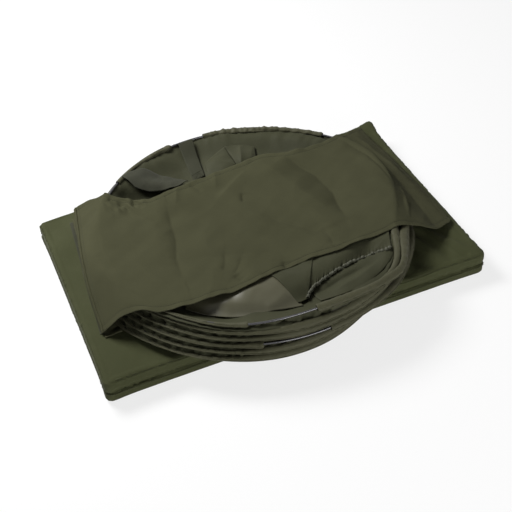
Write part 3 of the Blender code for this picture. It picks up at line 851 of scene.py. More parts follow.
@dataclass
class PaddedHalf:
    """One padded half of the mat, swollen by simulation and then sewn.

    Args:
        maker: Dresses the pieces.
        prefix: The half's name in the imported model.
        body: The body that it rides on.
        base: Height of its underside.
        upper: Whether it is the upper half, whose top is crowned.
        seed: Which wrinkles it has.
        start_inset: How much smaller the pad starts.
        start_lift: How far above its base it starts.
        start_round: How far in its rounded sides reach at the start.
        start_sink: Share of the crown's height by which its top starts lower.
        top_rings: Insets of the rings of points over its top.
        voxel: Size of the voxels that it is remeshed with.
        fan_reach: How far outside the pad the band is looked for.
        spine_inset: How far inside the outline the band's middle line lies.
        band_points: Points of the band round the pad.
        pressure: Air pressure of the simulation.
        cap: How far a point may move in it.
        gap: Gap to the ground and to the other half.
        side_gap: How far its sides stay inside the mat's outline.
        top_gap: How far its top stays below the mat's form, apart from its drag lines.
        drag_height: How high those may stand.
        flat_zone: Inset where its faces begin to be flat, and the width over which they do.
        band_lift: How far the band stands off the pad.
        band_tuck: How far its edges are tucked in.
        band_fill: How far it stands out where it is filled.
        fold_room: How far the fold side is drawn in, so that the halves open flat.
        fold_zone: Place along Y where that begins, and the width over which it does.
        corners: Side, end, reach and draw of each corner that is pulled out of shape.
    """

    maker: Maker
    prefix: str
    body: Body
    base: float
    upper: bool
    seed: int
    start_inset: float = 0.0012
    start_lift: float = 0.0006
    start_round: float = 0.0048
    start_sink: float = 0.08
    top_rings: Tuple[float, ...] = (0.03, 0.07, 0.12, 0.17, 0.205)
    voxel: float = 0.0050
    fan_reach: float = 0.030
    spine_inset: float = 0.012
    band_points: int = 1500
    pressure: float = 4.0
    cap: float = 0.0045
    gap: float = 0.0002
    side_gap: float = 0.0007
    top_gap: float = 0.0003
    drag_height: float = 0.0012
    flat_zone: Pair = (0.002, 0.014)
    band_lift: float = 0.0006
    band_tuck: float = 0.0012
    band_fill: float = 0.0014
    fold_room: float = 0.0018
    fold_zone: Pair = (0.205, 0.012)
    corners: Tuple[Tuple[int, int, float, Triple], ...] = (
        (1, 1, 0.030, (0.0030, 0.0035, 0.0100)),
        (-1, 1, 0.045, (0.0, -0.0055, 0.0)),
        (-1, -1, 0.030, (-0.0015, -0.0020, 0.0)),
    )

    @property
    def band(self) -> BandForm:
        """The form of its sewn band."""
        return UPPER_BAND if self.upper else LOWER_BAND

    def outline(self, inset: float, steps: int = 5) -> Array:
        """Points round the rounded outline, inset by a distance."""
        radius = max(MAT.corner - inset, 0.004)
        half = np.array([MAT.length / 2 - inset - radius, MAT.depth / 2 - inset - radius])
        points = []
        for sign, first in (((1, 1), 0), ((-1, 1), 90), ((-1, -1), 180), ((1, -1), 270)):
            for turn in np.radians(np.linspace(first, first + 90, steps)):
                points.append(half * sign + radius * np.array([math.cos(turn), math.sin(turn)]))
        return np.array(points)

    def start_form(self) -> Piece:
        """The closed pad before it swells, a little smaller than it ends."""
        low = self.base + self.start_lift
        high = self.base + MAT.half_thickness - self.start_inset * 0.5
        round_in, part_in = self.start_round, self.start_round * 0.3
        profile = [
            (self.start_inset + round_in, low),
            (self.start_inset + part_in, low + part_in),
            (self.start_inset, low + round_in),
            (self.start_inset, high - round_in),
            (self.start_inset + part_in, high - part_in),
            (self.start_inset + round_in, high),
        ]
        rings = [
            np.column_stack([self.outline(inset), np.full(20, height)]) for inset, height in profile
        ]
        if self.upper:
            for inset in self.top_rings:
                flat = self.outline(inset)
                rise = MAT.crown(flat[:, 0], flat[:, 1]) - MAT.crown_height * self.start_sink
                rings.append(np.column_stack([flat, high + rise]))
        return capped_rings(self.prefix + "_pad", np.array(rings))

    def swell(self, pad: Piece) -> None:
        """Remeshes the pad, lets air pressure swell it as cloth, and caps how far it moves."""
        remesh = pad.modifiers.new("voxels", "REMESH")
        remesh.mode = "VOXEL"
        remesh.voxel_size = self.voxel
        apply_modifier(pad, remesh.name)
        rest = coordinates(pad)
        cloth = pad.modifiers.new("swelling", "CLOTH")
        cloth.settings.use_pressure = True
        cloth.settings.uniform_pressure_force = self.pressure
        cloth.settings.quality = 4
        cloth.settings.mass = 0.3
        cloth.settings.tension_stiffness = 25
        cloth.settings.compression_stiffness = 15
        cloth.settings.bending_stiffness = 2.0
        cloth.settings.effector_weights.gravity = 0.0
        for step in range(1, 21):
            bpy.context.scene.frame_set(step)
        apply_modifier(pad, cloth.name)
        bpy.context.scene.frame_set(1)
        moved = coordinates(pad) - rest
        far = np.linalg.norm(moved, axis=1)[:, None]
        move_to(pad, rest + moved * np.minimum(1.0, self.cap / np.maximum(far, 1e-9)))
        finer = pad.modifiers.new("finer", "SUBSURF")
        finer.levels = finer.render_levels = 1
        apply_modifier(pad, finer.name)

    def fit(self, points: Array) -> Array:
        """Stretches the pad so that its sides reach the mat's own outline."""
        wanted = np.array([MAT.length / 2, MAT.depth / 2]) - self.side_gap
        points = points.copy()
        points[:, :2] *= wanted / np.abs(points[:, :2]).max(axis=0)
        return points

    @staticmethod
    def faced(upward: Array) -> Array:
        """1 where a normal points up, eased to 0 where it is near level."""
        return smooth((upward - 0.25) / 0.5)

    def shape(self, pad: Piece) -> None:
        """Fits the swollen pad to the mat's faces and gives its top soft drag lines."""
        points = self.fit(coordinates(pad))
        normals = values_at_points(pad, "normal")
        x, y, z = points.T
        floor, ceiling = self.base + self.gap, self.base + MAT.half_thickness
        inset = np.minimum(MAT.length / 2 - np.abs(x), MAT.depth / 2 - np.abs(y))
        flat = smooth((inset - self.flat_zone[0]) / self.flat_zone[1])
        if self.upper:
            wanted = MAT.top_at(x, y) - self.top_gap
            highest = wanted + self.drag_height
            soft = Ripple(self.seed + 4, 0.12, 0.0005).at(x, y) + self.front_wrinkles(x, y)
            facing = self.faced(normals[:, 2])
            top = np.minimum(wanted + soft, highest)
            z = np.where(facing > 0, mix(z, top, facing * flat), z)
            z = np.minimum(z, highest)
        else:
            z = np.minimum(z, ceiling - self.gap)
        z = np.maximum(z, floor)
        z = mix(z, floor, self.faced(-normals[:, 2]) * flat)
        y = y - self.fold_room * smooth((y - self.fold_zone[0]) / self.fold_zone[1])
        for side, way, reach, drawn in self.corners:
            away = np.hypot(x - side * MAT.length / 2, y - way * MAT.depth / 2)
            ear = bell(away, reach)
            along = drawn[1] if self.upper else min(drawn[1], 0.0)
            x, y = x + drawn[0] * ear, y + along * ear
            z = z + (drawn[2] * ear if self.upper else 0.0)
        move_to(pad, np.column_stack([x, y, z]))

    def front_wrinkles(self, x: Array, y: Array) -> Array:
        """Soft drag lines on the top, most of them at the right of the open edge."""
        near = smooth((x - 0.12) / 0.15) * smooth((0.02 - y) / 0.12)
        near = near * smooth((MAT.length / 2 - 0.006 - x) / 0.03)
        drag = Ripple(self.seed + 5, 0.040, 0.0014, lean=15, spread=18).at(x, y)
        side = smooth((x - 0.25) / 0.05) * smooth((y - 0.02) / 0.05)
        return drag * near + Ripple(self.seed + 6, 0.035, 0.0012, lean=60, spread=20).at(x, y) * side

    def puckers(self, run: Array, degrees: Array) -> Array:
        """Height of the band's seams and gathers at places round the pad and up its side."""
        gathers = np.tanh(1.4 * Ripple(self.seed + 2, 0.0125, 1.0).at(run, degrees * 0.00008))
        strength = np.clip(0.6 + 0.5 * Ripple(self.seed + 3, 0.10, 1.0).at(run, 0 * run), 0.15, 1.2)
        wander = degrees + Ripple(self.seed + 1, 0.09, 2.5).at(run, 0 * run)
        height = 0 * run * degrees
        for middle, width, depth in self.band.seams:
            zone = bell(wander - middle, 2.1 * width)
            height = height - 1.6 * depth * bell(wander - middle, width * 0.55)
            height = height + self.band.gather * gathers * strength * zone
        height = height + self.band_fill * bell(degrees - self.band.filled, 8)
        middle, width, ridge = self.band.ridge
        return height + ridge * bell(wander - middle, width)

    def band_grid(self, pad: Piece) -> Tuple[Array, Array]:
        """The sewn band round the pad's side, laid on the pad itself.

        Args:
            pad: The finished pad.

        Returns:
            Points of (round, up the side, 3) and the outward directions there.
        """
        tree = BVHTree.FromObject(pad, bpy.context.evaluated_depsgraph_get())
        line = even_line(self.outline(self.spine_inset, 9), self.band_points, closed=True)
        ahead = np.roll(line, -1, axis=0) - np.roll(line, 1, axis=0)
        ahead /= np.linalg.norm(ahead, axis=1)[:, None]
        aside = np.column_stack([ahead[:, 1], -ahead[:, 0], 0 * ahead[:, 0]])
        spine = np.column_stack([line, np.full(len(line), self.base + MAT.half_thickness / 2)])
        degrees = np.linspace(self.band.top, self.band.bottom, self.band.columns)
        outward = np.cos(np.radians(degrees))[None, :, None] * aside[:, None, :]
        outward = outward + np.sin(np.radians(degrees))[None, :, None] * UP
        reach = np.zeros(outward.shape[:2])
        for place in np.ndindex(reach.shape):
            way = Vector(outward[place])
            start = Vector(spine[place[0]]) + way * self.fan_reach
            _, _, _, gone = tree.ray_cast(start, -way, self.fan_reach)
            reach[place] = self.fan_reach - gone if gone is not None else self.spine_inset
        run = np.linspace(0, 2.2, self.band_points, endpoint=False)[:, None]
        reach = reach + self.band_lift + self.puckers(run, degrees[None, :])
        reach[:, [0, -1]] -= self.band_tuck
        return spine[:, None, :] + outward * reach[:, :, None], outward

    def build(self) -> None:
        """Builds, swells and dresses the half with its sewn band and stitches."""
        pad = self.start_form()
        self.swell(pad)
        self.shape(pad)
        names = ("ground_panel", "inner_panel") if not self.upper else ("inner_panel", "top_panel")
        nodes = [f"{self.prefix}_{name}" for name in (*names, "gusset", "foam")]
        self.maker.dress(pad, "mat_cloth", self.body, nodes)
        points, outward = self.band_grid(pad)
        band = grid_piece(self.prefix + "_band", points, True, False)
        self.maker.cloth(band, "mat_cloth", self.body, 2.25, Held.STRETCHED, [pad.name], wall=0.0006)
        stitches = StitchRows()
        out = outward[:, self.band.stitched]
        stitches.sew(points[:, self.band.stitched] + out * 0.0002, out)
        self.maker.dress(stitches.piece(self.prefix + "_stitches"), "webbing", self.body)


@dataclass
class FoldCloth:
    """The cloth spine along the fold, which joins the halves.

    Args:
        maker: Dresses the pieces.
        reach: Half its length.
        top, bottom: Heights of its edges.
        roll: How far its two rolls stand out.
        pucker: Its puckers.
        wall: Its thickness.
    """

    maker: Maker
    reach: float = 0.3405
    top: float = 0.0322
    bottom: float = 0.0146
    roll: float = 0.0026
    pucker: Ripple = Ripple(61, 0.011, 0.00035)
    wall: float = 0.0008

    def build(self) -> None:
        """Builds the spine as a shallow valley between two rolls."""
        x = np.linspace(-self.reach, self.reach, 260)[:, None]
        share = np.linspace(0, 1, 27)[None, :]
        z = mix(self.top, self.bottom, share) + 0 * x
        roll = self.roll * np.abs(np.sin(2 * math.pi * share)) ** 0.7
        pucker = self.pucker.at(x, share * 0.01) * np.sin(math.pi * share) ** 0.5
        y = MAT.depth / 2 - 0.0004 + roll + pucker + 0 * x
        points = np.stack([x + 0 * share, y, z], axis=2)
        spine = grid_piece("fold_spine", points)
        give_thickness(spine, self.wall)
        self.maker.dress(spine, "mat_cloth", None, ["fold_piping"])
        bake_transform(spine)


# The coiled hoops


@dataclass(frozen=True)
class Hoop:
    """Centreline of one spring ring coiled to three turns, drawn in to the photograph's outline.

    Args:
        first_level: How many turns lie below it.
        turns: How many turns it has.
        radius: Radius of its lowest turn.
        half_width: Half of that turn's width along X.
        centre_x, centre_y: Middle of that turn in plan.
        shift_x, shift_y: How far each turn lies from the one below.
        taper: How much smaller each turn is.
        rise: Height of each turn above the one below.
        start_angle: Where the first turn starts.
        return_share: Turns over which it comes back down to its start.
        margin_share: Turns before and after that over which it steps out.
        step: How far out the return stands.
        seat: Height of the lowest turn above the mat.
        dent: How far the coil is pressed in at the right.
        near_draw: How far the last turn is drawn in at the near side.
        far_draw: How far the upper turns are drawn in at the far side.
        low_draw: How far the lower turns are drawn in at the lower right.
        top_level: Level over both hoops from which a turn counts as the last one.
    """

    first_level: int
    turns: int = 3
    radius: float = 0.281
    half_width: float = 0.287
    centre_x: float = -0.029
    centre_y: float = -0.014
    shift_x: float = 0.0058
    shift_y: float = 0.0022
    taper: float = 0.0014
    rise: float = 0.0092
    start_angle: float = math.radians(15)
    return_share: float = 0.26
    margin_share: float = 0.09
    step: float = 0.0140
    seat: float = 0.0045
    dent: float = 0.048
    dent_degrees: Triple = (-58, -30, 28)
    near_draw: float = 0.011
    near_degrees: Triple = (-124, -86, -50)
    far_draw: float = 0.024
    far_degrees: Triple = (5, 66, 150)
    low_draw: float = 0.016
    low_degrees: Triple = (-104, -58, -8)
    top_level: float = 4.7

    def level(self, turns: Array) -> Array:
        """Turns climbed at places, falling back to zero along the return."""
        climb_end = self.turns - self.return_share
        back = smooth((turns - climb_end) / self.return_share)
        return np.where(turns <= climb_end, turns, climb_end * (1 - back))

    def step_out(self, turns: Array) -> Array:
        """How far the return stands outside the other turns."""
        first = self.turns - self.return_share - self.margin_share
        window = self.return_share + 2 * self.margin_share
        wrapped = np.where(turns < self.margin_share, turns + self.turns, turns)
        share = np.clip((wrapped - first) / window, 0.0, 1.0)
        return self.step * np.square(np.sin(math.pi * share))

    def pressed_in(self, turns: Array) -> Array:
        """How far the turn is pressed in at places, more on the upper turns."""
        total = self.first_level + self.level(turns)
        upper, lower = np.square(total / (2 * self.turns)), np.square(1 - total / (2 * self.turns))
        pressed = 0.0
        for depth, degrees, share in (
            (self.dent, self.dent_degrees, upper),
            (self.near_draw, self.near_degrees, self.last_turn(total)),
            (self.low_draw, self.low_degrees, lower),
            (self.far_draw, self.far_degrees, upper),
        ):
            pressed = pressed + depth * self.window(turns, degrees) * share
        return pressed

    def last_turn(self, total: Array) -> Array:
        """Share of the way onto the topmost turn, at levels counted over both hoops."""
        return smooth((total - self.top_level) / 0.9)

    def window(self, turns: Array, span: Triple) -> Array:
        """A hump between two angles in degrees, highest at the one in the middle."""
        degrees = (self.degrees(turns) + 180) % 360 - 180
        first, deepest, last = span
        rising = smooth((degrees - first) / (deepest - first))
        return rising * smooth((last - degrees) / (last - deepest))

    def point(self, turns: Array, inwards: Array = 0.0) -> Array:
        """Places of the centreline at numbers of turns from the start, moved inwards when asked."""
        turns = np.asarray(turns, float) % self.turns
        angle = self.start_angle + 2 * math.pi * turns
        total = self.first_level + self.level(turns)
        radius = self.radius - self.taper * total + self.step_out(turns)
        radius = radius - self.pressed_in(turns) - inwards
        x = self.centre_x + self.shift_x * total
        x = x + (radius + self.half_width - self.radius) * np.cos(angle)
        y = self.centre_y + self.shift_y * total + radius * np.sin(angle)
        lift = 0.5 * self.near_draw * self.window(turns, self.near_degrees) * self.last_turn(total)
        return np.stack([x, y, self.base + self.rise * self.level(turns) + lift], axis=-1)

    @property
    def base(self) -> float:
        """Height of the centreline at the start."""
        total = self.first_level
        x = self.centre_x + self.shift_x * total
        x += (self.half_width - self.taper * total) * math.cos(self.start_angle)
        y = self.centre_y + self.shift_y * total
        y += (self.radius - self.taper * total) * math.sin(self.start_angle)
        return float(MAT.top_at(np.array(x), np.array(y))) + self.seat + total * self.rise

    def turns_at(self, degrees: float, turn: int) -> float:
        """Turns from the start to an angle, counted on the turn that ends there."""
        ahead = (math.radians(degrees) - self.start_angle) / (2 * math.pi)
        return turn + ahead % 1.0

    def degrees(self, turns: Array) -> Array:
        """Angle round the coil at numbers of turns."""
        return (math.degrees(self.start_angle) + 360 * np.asarray(turns)) % 360


LOWER_HOOP = Hoop(0)
UPPER_HOOP = Hoop(3)
TURN_LENGTH = 2 * math.pi * UPPER_HOOP.radius

# Round the coil: angle, half width, half height and lean in degrees of the sleeve's flattened casing
CASING_FORM = (
    (0, 0.0056, 0.0036, 10),
    (50, 0.0050, 0.0042, 5),
    (75, 0.0060, 0.0046, -10),
    (97, 0.0058, 0.0046, -15),
    (125, 0.0040, 0.0034, 0),
    (180, 0.0042, 0.0028, -25),
    (215, 0.0038, 0.0021, -34),
    (238, 0.0042, 0.0025, -8),
    (262, 0.0064, 0.0034, 34),
    (300, 0.0066, 0.0036, 24),
    (330, 0.0072, 0.0037, 8),
)
# Round the coil: angle and height of the sleeve's puckers
PUCKER_FORM = (
    (0, 0.00030),
    (55, 0.00080),
    (75, 0.00150),
    (97, 0.00130),
    (125, 0.00030),
    (180, 0.00030),
    (235, 0.00030),
    (262, 0.00040),
    (330, 0.00035),
)


@dataclass
class HoopDress:
    """One hoop's rod, ferrule, sleeves and their piped edge.

    Args:
        maker: Dresses the pieces.
        prefix: The hoop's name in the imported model.
        hoop: Its centreline.
        open_stretches: Where the rod shows on its top turn, in degrees.
        ferrule_stretch: Where the sleeve leaves the ferrule bare, a turn lower.
        rod_radius, ferrule_radius, ferrule_length: Sizes of the rod and its ferrule.
        crimp: Depth of the two crimps in the ferrule.
        ring_pitch: Distance between the sleeve's rings of points.
        sides: Points in each ring.
        side_power, top_power: Powers of the casing's round, below 1 for a squarer one.
        pinch: How much flatter the casing is towards its sides.
        end_rings: Share of the size and move outwards of the rings that turn an end in.
        piping_radius, piping_lift: Radius of the piped edge and how far out it lies.
        seam_inset, seam_height: Where the sewn row beside it lies.
    """

    maker: Maker
    prefix: str
    hoop: Hoop
    open_stretches: Tuple[Pair, ...]
    ferrule_stretch: Pair = (-192, -180)
    rod_radius: float = 0.0020
    ferrule_radius: float = 0.0036
    ferrule_length: float = 0.034
    crimp: float = 0.0006
    ring_pitch: float = 0.0034
    sides: int = 18
    side_power: float = 0.85
    top_power: float = 0.95
    pinch: float = 0.35
    end_rings: Tuple[Pair, ...] = ((0.92, 0.0006), (0.74, 0.0), (0.62, -0.005))
    piping_radius: float = 0.0009
    piping_lift: float = 0.0003
    seam_inset: float = 0.0024
    seam_height: float = 0.0021

    def spans(self) -> List[Pair]:
        """Pairs of places between which the sleeve covers the rod."""
        opened = []
        for back, stretches in ((1, self.open_stretches), (2, (self.ferrule_stretch,))):
            for first, last in stretches:
                place = self.hoop.turns_at(first, self.hoop.turns - back)
                opened.append((place, place + (last - first) / 360))
        opened.sort()
        spans = []
        for here, after in zip(opened, opened[1:] + [opened[0]]):
            end = after[0] if after[0] > here[0] else after[0] + self.hoop.turns
            spans.append((here[1], end))
        return spans

    def form_at(self, places: Array, number: int) -> Tuple[Array, Array, Array, Array]:
        """Half width, half height, lean and pucker height of the casing at places along the hoop."""
        degrees = self.hoop.degrees(places)
        half_width, half_height, lean = round_table(CASING_FORM, degrees).T
        pucker = round_table(PUCKER_FORM, degrees)[:, 0]
        run = places * TURN_LENGTH
        seed = 100 * (self.hoop.first_level + 1) + number
        half_width = half_width * (1 + Ripple(seed, 0.11, 0.09).at(run, 0 * run))
        lean = lean + Ripple(seed + 1, 0.16, 7.0).at(run, 0 * run)
        return half_width, half_height, np.radians(lean), pucker

    def stretch(self, start: float, end: float) -> Tuple[Array, Array, Array, Array]:
        """Places along a sleeve, its centreline there, and the outward and upward directions."""
        count = max(int((end - start) * TURN_LENGTH / self.ring_pitch), 8)
        places = np.linspace(start, end, count)
        centre = self.hoop.point(places)
        return (places, centre, *frames_along(centre, False))

    def casing(self, number: int, start: float, end: float) -> Piece:
        """One flattened cloth casing with puckers and turned-in ends.

        Args:
            number: Which sleeve of the hoop it is.
            start: Place where it begins, in turns.
            end: Place where it ends.

        Returns:
            The mesh.
        """
        places, centre, outward, upward = self.stretch(start, end)
        half_width, half_height, lean, pucker = self.form_at(places, number)
        turn = round_angles(self.sides)
        cos, sin = np.cos(turn), np.sin(turn)
        wide = np.sign(cos) * np.abs(cos) ** self.side_power
        high = np.sign(sin) * np.abs(sin) ** self.top_power * (1 - self.pinch * np.abs(cos) ** 3)
        run = (places * TURN_LENGTH)[:, None]
        seed = 200 * (self.hoop.first_level + 1) + number
        draw = Ripple(seed, 0.012, 1.0).at(run, 0.5 * np.sin(turn)[None, :] * 0.012)
        draw = draw * pucker[:, None] * (0.55 + 0.45 * np.abs(sin))[None, :]
        across = wide[None, :] * half_width[:, None]
        above = high[None, :] * half_height[:, None]
        size = np.sqrt(np.square(across) + np.square(above)) + 1e-6
        across, above = across * (1 + draw / size), above * (1 + draw / size)
        c, s = np.cos(lean)[:, None], np.sin(lean)[:, None]
        out = across * c + above * s
        up = above * c - across * s
        rings = centre[:, None, :] + out[:, :, None] * outward[:, None, :]
        rings = rings + up[:, :, None] * upward[:, None, :]
        ahead = np.gradient(centre, axis=0)
        ahead /= np.linalg.norm(ahead, axis=1)[:, None]
        turned_in = []
        for at, way in ((0, -1), (-1, 1)):
            for share, move in self.end_rings:
                ring = centre[at] + (rings[at] - centre[at]) * share
                turned_in.append(ring + ahead[at] * (way * move))
        first, last = np.array(turned_in[2::-1]), np.array(turned_in[3:])
        rings = np.concatenate([first, rings, last])
        return grid_piece(f"{self.prefix}_sleeve_{number}", rings, False, True)

    def edge_line(self, number: int, start: float, end: float, lift: float) -> Array:
        """Line along the casing's outer edge."""
        places, centre, outward, upward = self.stretch(start, end)
        half_width, _, lean, _ = self.form_at(places, number)
        reach = half_width + lift
        return (
            centre
            + (reach * np.cos(lean))[:, None] * outward
            - (reach * np.sin(lean))[:, None] * upward
        )

    def build(self) -> None:
        """Builds and dresses the hoop."""
        first, last = self.ferrule_stretch
        joint = self.hoop.turns_at((first + last) / 2, self.hoop.turns - 2)
        places = np.linspace(joint, joint + self.hoop.turns, 640, endpoint=False)
        rod = tube_points(self.hoop.point(places), self.rod_radius, 12, closed=True)
        rod_piece = grid_piece(self.prefix + "_rod", rod, True, True)
        self.maker.dress(rod_piece, "spring_steel", Body.PACK, [self.prefix + "_hoop_rod"])

        half = self.ferrule_length / 2 / TURN_LENGTH
        places = np.linspace(joint - half, joint + half, 41)
        step = np.linspace(-1, 1, 41)
        crimps = self.crimp * (bell(step - 0.55, 0.1) + bell(step + 0.55, 0.1))
        ferrule = capped_tube(
            self.prefix + "_ferrule", self.hoop.point(places), self.ferrule_radius - crimps, 16
        )
        self.maker.dress(ferrule, "crimp_steel", Body.PACK, [self.prefix + "_hoop_ferrule"])

        stitches = StitchRows(pitch=0.0036, length=0.0027, thread=0.0005)
        for number, (start, end) in enumerate(self.spans(), 1):
            casing = self.casing(number, start, end)
            self.maker.dress(casing, "sleeve_cloth", Body.PACK, [f"{self.prefix}_hoop_sleeve_{number}"])
            edge = self.edge_line(number, start, end, self.piping_lift)
            piping = capped_tube(f"{self.prefix}_piping_{number}", edge, self.piping_radius, 7)
            self.maker.dress(piping, "sleeve_cloth", Body.PACK)
            inner = self.edge_line(number, start, end, -self.seam_inset)
            outward, upward = frames_along(inner, False)
            stitches.sew(inner + upward * self.seam_height, upward * 0.8 + outward * 0.6)
        self.maker.dress(stitches.piece(self.prefix + "_sleeve_stitches"), "webbing", Body.PACK)


# The cloth inside the coil


@dataclass
class WallSurface:
    """Height of the bunched wall cloth at any point inside the coil.

    Args:
        middle_height: Height at the middle.
        rim_inset: How far inside the centreline its rim lies.
        angles: Points round the rim.
        folds: Count, lead and share of the waves round the middle.
        fold_height: Height of those waves.
        lines: Its main folds.
        unevenness: Soft bunched folds all over it.
        gather_height: Height of the gathers at the rim.
    """

    middle_height: float = 0.076
    rim_inset: float = 0.0050
    angles: int = 720
    folds: Tuple[Triple, ...] = ((5, 0.7, 1.0), (8, 2.1, 0.6))
    fold_height: float = 0.0040
    lines: Tuple[FoldLine, ...] = (
        FoldLine(((-212, 172), (-160, 152), (-108, 138)), -13.0, 16, 17, 1.8),
        FoldLine(((-120, 232), (-60, 214), (-20, 200)), 3.0, 16, 26, 1.5),
        FoldLine(((60, 236), (130, 200), (186, 150)), 2.4, 12, 30, 1.4),
        FoldLine(((20, -214), (90, -206), (160, -186)), -4.5, 12, 14, 1.6),
        FoldLine(((-180, -150), (-120, -182), (-60, -214)), 3.5, 16, 12, 1.6),
    )
    unevenness: Tuple[Ripple, ...] = (
        Ripple(31, 0.110, 0.0012),
        Ripple(32, 0.110, 0.0005, creased=True),
        Ripple(33, 0.030, 0.00012),
    )
    gather_height: float = 0.0004

    def __post_init__(self) -> None:
        """Works out the rim and the table of heights."""
        self.middle = np.array([UPPER_HOOP.centre_x, UPPER_HOOP.centre_y])
        turn = np.linspace(0, 1, self.angles, endpoint=False)
        low = UPPER_HOOP.point(turn, self.rim_inset)
        angle = UPPER_HOOP.start_angle + 2 * math.pi * turn
        back = UPPER_HOOP.step_out(turn)
        low[:, 0] -= back * np.cos(angle)
        low[:, 1] -= back * np.sin(angle)
        fallen = smooth((turn - 0.8) / 0.2)
        low[:, 2] = UPPER_HOOP.base + UPPER_HOOP.rise * turn * (1 - fallen)
        high = UPPER_HOOP.point(1.74 + (turn - 0.74) % 1.0)
        self.low = self.ordered(low)
        self.high = self.ordered(high)

    def ordered(self, points: Array) -> Array:
        """Distance from the middle and height by angle round it, evenly spaced and softened."""
        away = points[:, :2] - self.middle
        angle = np.arctan2(away[:, 1], away[:, 0]) % (2 * math.pi)
        order = np.argsort(angle)
        grid = round_angles(self.angles)
        values = np.column_stack([np.linalg.norm(away, axis=1), points[:, 2]])
        found = np.column_stack(
            [np.interp(grid, angle[order], values[order, k], period=2 * math.pi) for k in (0, 1)]
        )
        width = 24
        window = np.hanning(2 * width + 1)
        window /= window.sum()
        padded = np.concatenate([found[-width:], found, found[:width]])
        return np.column_stack([np.convolve(padded[:, k], window, "valid") for k in (0, 1)])

    def rim(self, angle: Array) -> Tuple[Array, Array, Array]:
        """Distance of the rim from the middle, and the heights of its low and its high edge."""
        grid = round_angles(self.angles)
        reach = np.interp(angle, grid, self.low[:, 0], period=2 * math.pi)
        low = np.interp(angle, grid, self.low[:, 1], period=2 * math.pi)
        high = np.interp(angle, grid, self.high[:, 1], period=2 * math.pi)
        return reach, low, high

    def height(self, x: Array, y: Array, detail: float = 1.0) -> Array:
        """Height of the cloth at points in plan, with a share of its small folds."""
        away_x, away_y = np.asarray(x) - self.middle[0], np.asarray(y) - self.middle[1]
        angle = np.arctan2(away_y, away_x)
        reach, low, high = self.rim(angle % (2 * math.pi))
        share = np.clip(np.hypot(away_x, away_y) / reach, 0.0, 1.02)
        wave = sum(size * np.cos(count * angle + lead) for count, lead, size in self.folds)
        z = mix(self.middle_height, low, smooth(share))
        z = z + self.fold_height * wave * share * (1 - share ** 4)
        raised = smooth((share - 0.80) / 0.19)
        z = z + (high - 0.002 - low) * raised * self.rise_share(angle)
        gather = np.cos(angle * 74 + 2.2 * np.sin(angle * 9)) + 0.7 * np.cos(angle * 47 + 1.3)
        z = z + self.gather_height * detail * gather * smooth((share - 0.86) / 0.12)
        for line in self.lines:
            z = z + line.at(np.asarray(x), np.asarray(y)) * smooth((0.99 - share) / 0.07)
        uneven = sum(ripple.at(x, y) for ripple in self.unevenness)
        return z + detail * uneven * smooth((1.0 - share) / 0.06 + 0.3)

    def rise_share(self, angle: Array) -> Array:
        """How far the cloth climbs to the top turn, all the way except at the near side."""
        degrees = np.degrees(angle)
        near = bell(np.abs((degrees + 80 + 180) % 360 - 180), 34.0)
        return 1.0 - 0.55 * near


@dataclass(frozen=True)
class Laid:
    """A piece that lies on the wall cloth, between four edges given in plan in millimetres.

    Args:
        name: The piece's name.
        slot: Its material slot.
        nodes: CAD nodes that it stands for.
        near: Its near edge, left to right.
        far: Its far edge, left to right.
        held: How it is held.
        lift: Clearance above the wall cloth.
        bulge: How far its middle stands up.
        near_rise: How far its near edge stands up.
        far_rise: How far its far edge stands up.
        folds: Its own folds.
        ripple: Its own unevenness.
        follows: Share of the wall cloth's small folds that show through it.
        gather: Height of gathers along its near edge.
        tuck: How fully its far part reaches up to the flap over it.
        tuck_from: Share of its length, left to right, where that begins.
        tuck_gap: How far below the flap it stays there.
        wall: Its thickness.
        columns, rows: Points along it and across it.
    """

    name: str
    slot: str
    nodes: Tuple[str, ...]
    near: Tuple[Pair, ...]
    far: Tuple[Pair, ...]
    held: Held = Held.LAID
    lift: float = 0.0010
    bulge: float = 0.004
    near_rise: float = 0.0
    far_rise: float = 0.0
    folds: Tuple[FoldLine, ...] = ()
    ripple: Optional[Ripple] = None
    follows: float = 0.35
    gather: float = 0.0
    tuck: float = 0.0
    tuck_from: float = -1.0
    tuck_gap: float = 0.0026
    wall: float = 0.0009
    columns: int = 90
    rows: int = 48


